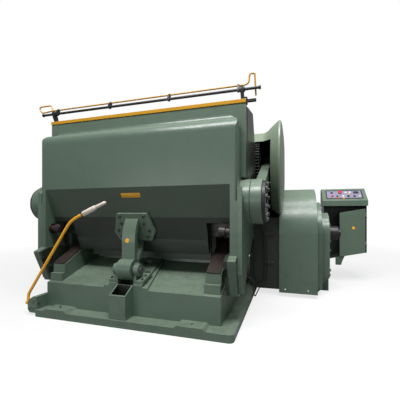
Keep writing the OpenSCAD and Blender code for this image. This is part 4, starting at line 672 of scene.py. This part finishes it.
# %% Panel places
PANEL_CORNER = np.array([2.045, 2.363, 1.250])
PANEL_SLOPE = math.radians(40)
PANEL_ACROSS = np.array([1.0, 0.0, 0.0])
PANEL_UP = np.array([0.0, math.cos(PANEL_SLOPE), math.sin(PANEL_SLOPE)])
PANEL_OUT = np.array([0.0, -math.sin(PANEL_SLOPE), math.cos(PANEL_SLOPE)])
PLATE_TOP = 0.003


def on_panel(across, up, out=0.0):
    """Corner + across * X + up * slope + out * normal, with across and up in millimetres."""
    return PANEL_CORNER + across / 1000 * PANEL_ACROSS + up / 1000 * PANEL_UP + out * PANEL_OUT


def rounded_rectangle(width, height, corner, steps=6):
    """Outline of a rectangle with quarter circles at its corners, centred on zero."""
    angle = np.linspace(0, np.pi / 2, steps)
    quarter = np.column_stack([np.cos(angle), np.sin(angle)]) * corner
    centres = np.array([[1, 1], [-1, 1], [-1, -1], [1, -1]]) * (np.array([width, height]) / 2 - corner)
    turns = [quarter, quarter[:, ::-1] * [-1, 1], -quarter, quarter[:, ::-1] * [1, -1]]
    return np.vstack([centre + turn for centre, turn in zip(centres, turns)])


def panel_block(name, across, up, width, height, corner, thick, inset=0.0, lift=0.0):
    """Low block on the panel: its outline drawn at the foot and, drawn in by inset, at its top."""
    levels = [(0.0, 0.0), (0.0, thick - inset), (inset * 0.4, thick - inset * 0.25), (inset, thick)]
    rings = []
    for shrink, out in levels:
        flat = rounded_rectangle(width - 2 * shrink, height - 2 * shrink, max(corner - shrink, 1e-4))
        middle = on_panel(across, up, PLATE_TOP + lift + out)
        rings.append(middle + flat[:, :1] * PANEL_ACROSS + flat[:, 1:] * PANEL_UP)
    return grid_mesh(name, np.stack(rings), wrap_v=True, caps=True)


# %% Panel frame and fixed caps
FRAME_SIZE, WINDOW_SIZE = (0.520, 0.216, 0.008), (0.492, 0.188, 0.005)  # width, height, corner
FRAME_MIDDLE, FRAME_PROUD, FRAME_SUNK = (305, 156), 0.004, 0.002
frame_outline, window_outline = rounded_rectangle(*FRAME_SIZE), rounded_rectangle(*WINDOW_SIZE)
frame_rings = [(frame_outline, 0.0), (frame_outline, FRAME_PROUD), (window_outline, FRAME_PROUD),
               (window_outline, 0.0)]
panel_frame = grid_mesh("panel_frame", np.stack([
    on_panel(*FRAME_MIDDLE, PLATE_TOP - FRAME_SUNK + out) + flat[:, :1] * PANEL_ACROSS
    + flat[:, 1:] * PANEL_UP for flat, out in frame_rings]), wrap_u=True, wrap_v=True)
place_piece(panel_frame, black_plastic, "frame", "black_plastic")

PANEL_CAPS = [  # name, across, up, width, height, colour, slot
    ("cap_red_low", 205, 58, .030, .030, red_cap, "red_button"),
    ("cap_yellow_low", 291, 58, .030, .030, yellow_cap, "lamp_plastic"),
    ("cap_yellow_mid", 376, 158, .026, .026, yellow_cap, "lamp_plastic"),
    ("display_window", 478, 200, .078, .052, black_plastic, "black_plastic"),
    ("cap_black_left", 133, 200, .038, .038, black_plastic, "black_plastic"),
    ("cap_black_right", 448, 105, .036, .036, black_plastic, "black_plastic"),
    ("cap_white_small", 522, 105, .022, .022, lamp_lens, "lamp_plastic"),
]
CAP_PROUD, CAP_INSET, CAP_ROUNDNESS = 0.009, 0.003, 0.46
for name, across, up, width, height, material, slot_name in PANEL_CAPS:
    corner = min(width, height) * CAP_ROUNDNESS
    cap = panel_block(name, across, up, width, height, corner, CAP_PROUD, inset=CAP_INSET)
    place_piece(cap, material, "frame", slot_name)
print("fixed caps on the panel:", len(PANEL_CAPS))

# %% [markdown]
# ## Plain plates and discs
# The platen, the hinge arm and the console door each carry a small yellow sign. They are plain here: a thin
# anodised plate, and two thin discs with a raised rim.

# %% Yellow plate and discs
RECESS_TOP = np.array([-0.010, 1.310])
RECESS_FOOT = np.array([0.105, 1.013])
SIGN_WIDE, SIGN_HIGH, SIGN_CORNER = 0.216, 0.048, 0.004
SIGN_X, SIGN_DOWN = 0.016, 0.085
recess_way = (RECESS_FOOT - RECESS_TOP) / np.linalg.norm(RECESS_FOOT - RECESS_TOP)
recess_out = np.array([recess_way[1], -recess_way[0]])
plate_centre = RECESS_TOP + recess_way * SIGN_DOWN
plate_rings = []
for shrink, out in ((0.0, 0.0), (0.0, 0.0012), (0.0008, 0.0018)):
    flat = rounded_rectangle(SIGN_WIDE - 2 * shrink, SIGN_HIGH - 2 * shrink, SIGN_CORNER)
    depth = plate_centre[None, :] - flat[:, 1:] * recess_way + out * recess_out
    plate_rings.append(np.column_stack([SIGN_X + flat[:, 0], depth]))
sign_plate = grid_mesh("plain_yellow_plate", np.stack(plate_rings), wrap_v=True, caps=True)
place_piece(sign_plate, yellow_enamel, "platen", "yellow_enamel")



def rimmed_disc(radius):
    """Rows for a thin disc with a rim 2 mm wide that stands 1 mm proud of its face."""
    return [[-0.001, radius], [0.0016, radius], [0.0024, radius - 0.001], [0.0024, radius - 0.003],
            [0.0014, radius - 0.0038], [0.0014, 0.0001]]


arm_disc = turned("arm_disc", rimmed_disc(0.022), (-0.012, 0.0035, 0.783), (0, -1, 0.02))
place_piece(arm_disc, lever_enamel, "platen", "yellow_enamel")
door_disc = turned("door_disc", rimmed_disc(0.021), (2.466, 2.3766, 0.831), (0, -1, 0))
place_piece(door_disc, lever_enamel, "door", "yellow_enamel")
print("plain plate and two discs")

# %% [markdown]
# ## The sensor cable
# A round rubber cable leaves a gland on the right side frame, hangs down, and lies on the floor as far as
# the beam of the drive. It is one smooth curve through its route's points.

# %% Sensor cable
CABLE_ROUTE = np.array([
    [1105, 430, 405], [1133, 436, 401], [1154, 454, 390], [1161, 478, 375], [1158, 540, 335],
    [1150, 620, 283], [1142, 700, 232], [1134, 790, 178], [1127, 880, 129], [1121, 970, 85],
    [1117, 1055, 46], [1115, 1125, 22], [1115, 1190, 10], [1116, 1290, 8], [1119, 1410, 8],
    [1123, 1530, 8], [1128, 1650, 8], [1133, 1765, 9], [1138, 1855, 18], [1140, 1905, 29],
    [1140, 1945, 33]]) / 1000.0
CABLE_DIAMETER = 0.014


def catmull_rom(points, steps):
    """Smooth curve through points: p = 0.5 (2b + (c-a)t + (2a-5b+4c-d)t^2 + (3b-a-3c+d)t^3)."""
    padded = np.vstack([points[:1], points, points[-1:]])
    a, b, c, d = (padded[i:len(padded) - 3 + i][:, None, :] for i in range(4))
    t = np.linspace(0, 1, steps, endpoint=False)[None, :, None]
    bend, twist = 2 * a - 5 * b + 4 * c - d, 3 * b - a - 3 * c + d
    curve = 0.5 * (2 * b + (c - a) * t + bend * t ** 2 + twist * t ** 3)
    return np.vstack([curve.reshape(-1, 3), points[-1:]])


cable_path = catmull_rom(CABLE_ROUTE, 6)
cable_curve = bpy.data.curves.new("sensor_cable_curve", "CURVE")
cable_curve.dimensions = "3D"
spline = cable_curve.splines.new("POLY")
spline.points.add(len(cable_path) - 1)
spline.points.foreach_set("co", np.hstack([cable_path, np.ones((len(cable_path), 1))]).ravel())
cable_curve.bevel_depth = CABLE_DIAMETER / 2
cable_curve.bevel_resolution = 4
cable_curve.use_fill_caps = True
cable = bpy.data.objects.new("sensor_cable_dressed", cable_curve)
place_piece(cable, cable_sheath, "frame", "cable_sheath", "sensor_cable")
print("cable length:", round(path_length(cable_path), 3), "m")

# %% [markdown]
# ## Floor and light
# The machine stands on a plain pale floor in front of a white background. Only the camera sees that
# white: to the machine the surroundings are a dim hall, so its paint stays deep. The light is a soft dome
# and three panels: one high over the platen, a small one over the drive, and one low behind the camera,
# whose reflection brightens the foot of the upright panels. The floor glows more the farther it is, so it
# has no horizon.

# %% Floor
floor_mesh = bpy.data.meshes.new("floor")
HALF_FLOOR = 40
corners = [(-HALF_FLOOR, -HALF_FLOOR, 0), (HALF_FLOOR, -HALF_FLOOR, 0), (HALF_FLOOR, HALF_FLOOR, 0),
           (-HALF_FLOOR, HALF_FLOOR, 0)]
floor_mesh.from_pydata(corners, [], [(0, 1, 2, 3)])
floor = bpy.data.objects.new("floor", floor_mesh)
bpy.context.scene.collection.objects.link(floor)
floor_paint, tree, output = new_material("pale_floor")
rays = add_node(tree, "ShaderNodeLightPath")
tone = add_node(tree, "ShaderNodeMix", {"Factor": rays.outputs["Is Camera Ray"], 6: linear("#949494"),
                                        7: linear("#f2f2f2")}, data_type="RGBA")
matt = add_node(tree, "ShaderNodeBsdfDiffuse", {"Color": tone.outputs[2]})
glow = add_node(tree, "ShaderNodeEmission", {"Color": (1, 1, 1, 1), "Strength": 1.0})
place = add_node(tree, "ShaderNodeTexCoord").outputs["Object"]
# the glow's share of what the camera sees, from the machine's own surroundings out to the far floor
FLOOR_MIDDLE, FADE_NEAR, FADE_FAR, GLOW_NEAR = (0.6, 1.2, 0.0), 2.5, 8.0, 0.74
from_press = add_node(tree, "ShaderNodeVectorMath", {0: place, 1: FLOOR_MIDDLE}, operation="DISTANCE")
fade = add_node(tree, "ShaderNodeMapRange", {"Value": from_press.outputs["Value"], "From Min": FADE_NEAR,
                                             "From Max": FADE_FAR, "To Min": GLOW_NEAR, "To Max": 1.0})
seen = add_node(tree, "ShaderNodeMath", {0: rays.outputs["Is Camera Ray"], 1: fade.outputs[0]},
                operation="MULTIPLY")
floor_mix = add_node(tree, "ShaderNodeMixShader", {0: seen.outputs[0], 1: matt.outputs[0],
                                                   2: glow.outputs[0]})
tree.links.new(floor_mix.outputs[0], output.inputs["Surface"])
floor_mesh.materials.append(floor_paint)
print("floor:", 2 * HALF_FLOOR, "m square")

# %% World and lamps
# strength of the light that falls, and of the hall that glossy paint reflects
DOME, ROOM = 0.17, 0.32
world = bpy.data.worlds.new("studio")
bpy.context.scene.world = world
world.use_nodes = True
tree = world.node_tree
tree.nodes.clear()
world_out = add_node(tree, "ShaderNodeOutputWorld")
rays = add_node(tree, "ShaderNodeLightPath")
dome = add_node(tree, "ShaderNodeBackground", {"Color": (0.93, 0.97, 1.0, 1.0), "Strength": DOME})
room = add_node(tree, "ShaderNodeBackground", {"Color": (0.95, 0.98, 1.0, 1.0), "Strength": ROOM})
white = add_node(tree, "ShaderNodeBackground", {"Color": (1, 1, 1, 1), "Strength": 1.0})
mirrored = add_node(tree, "ShaderNodeMixShader", {0: rays.outputs["Is Glossy Ray"], 1: dome.outputs[0],
                                                  2: room.outputs[0]})
clear = add_node(tree, "ShaderNodeMath", {0: rays.outputs["Is Camera Ray"],
                                          1: rays.outputs["Is Transmission Ray"]}, operation="MAXIMUM")
world_mix = add_node(tree, "ShaderNodeMixShader", {0: clear.outputs[0], 1: mirrored.outputs[0],
                                                   2: white.outputs[0]})
tree.links.new(world_mix.outputs[0], world_out.inputs["Surface"])


def soft_panel(name, place, aim, size, power):
    """A rectangular lamp of the given size in metres that looks at a point."""
    data = bpy.data.lights.new(name, "AREA")
    data.shape = "RECTANGLE"
    data.size, data.size_y = size
    data.energy = power
    lamp = bpy.data.objects.new(name, data)
    lamp.location = place
    direction = np.array(aim) - np.array(place)
    lamp.rotation_euler = (math.acos(-direction[2] / np.linalg.norm(direction)), 0,
                           math.atan2(-direction[0], direction[1]))
    bpy.context.scene.collection.objects.link(lamp)
    return lamp


soft_panel("overhead", (0.9, -1.9, 6.0), (0.5, 0.3, 0.7), (5.0, 1.6), 430)
soft_panel("over_drive", (2.2, 1.1, 4.6), (1.9, 1.9, 0.8), (1.6, 1.0), 80)
soft_panel("behind_camera", (-1.8, -7.5, 1.7), (0.2, 0.0, 1.3), (5.4, 1.5), 78)
bpy.context.scene.view_settings.view_transform = "Standard"
print("lamps:", len(bpy.data.lights))

# %% [markdown]
# The last cell updates the scene and hands it over.

# %% Finish
bpy.context.view_layer.update()
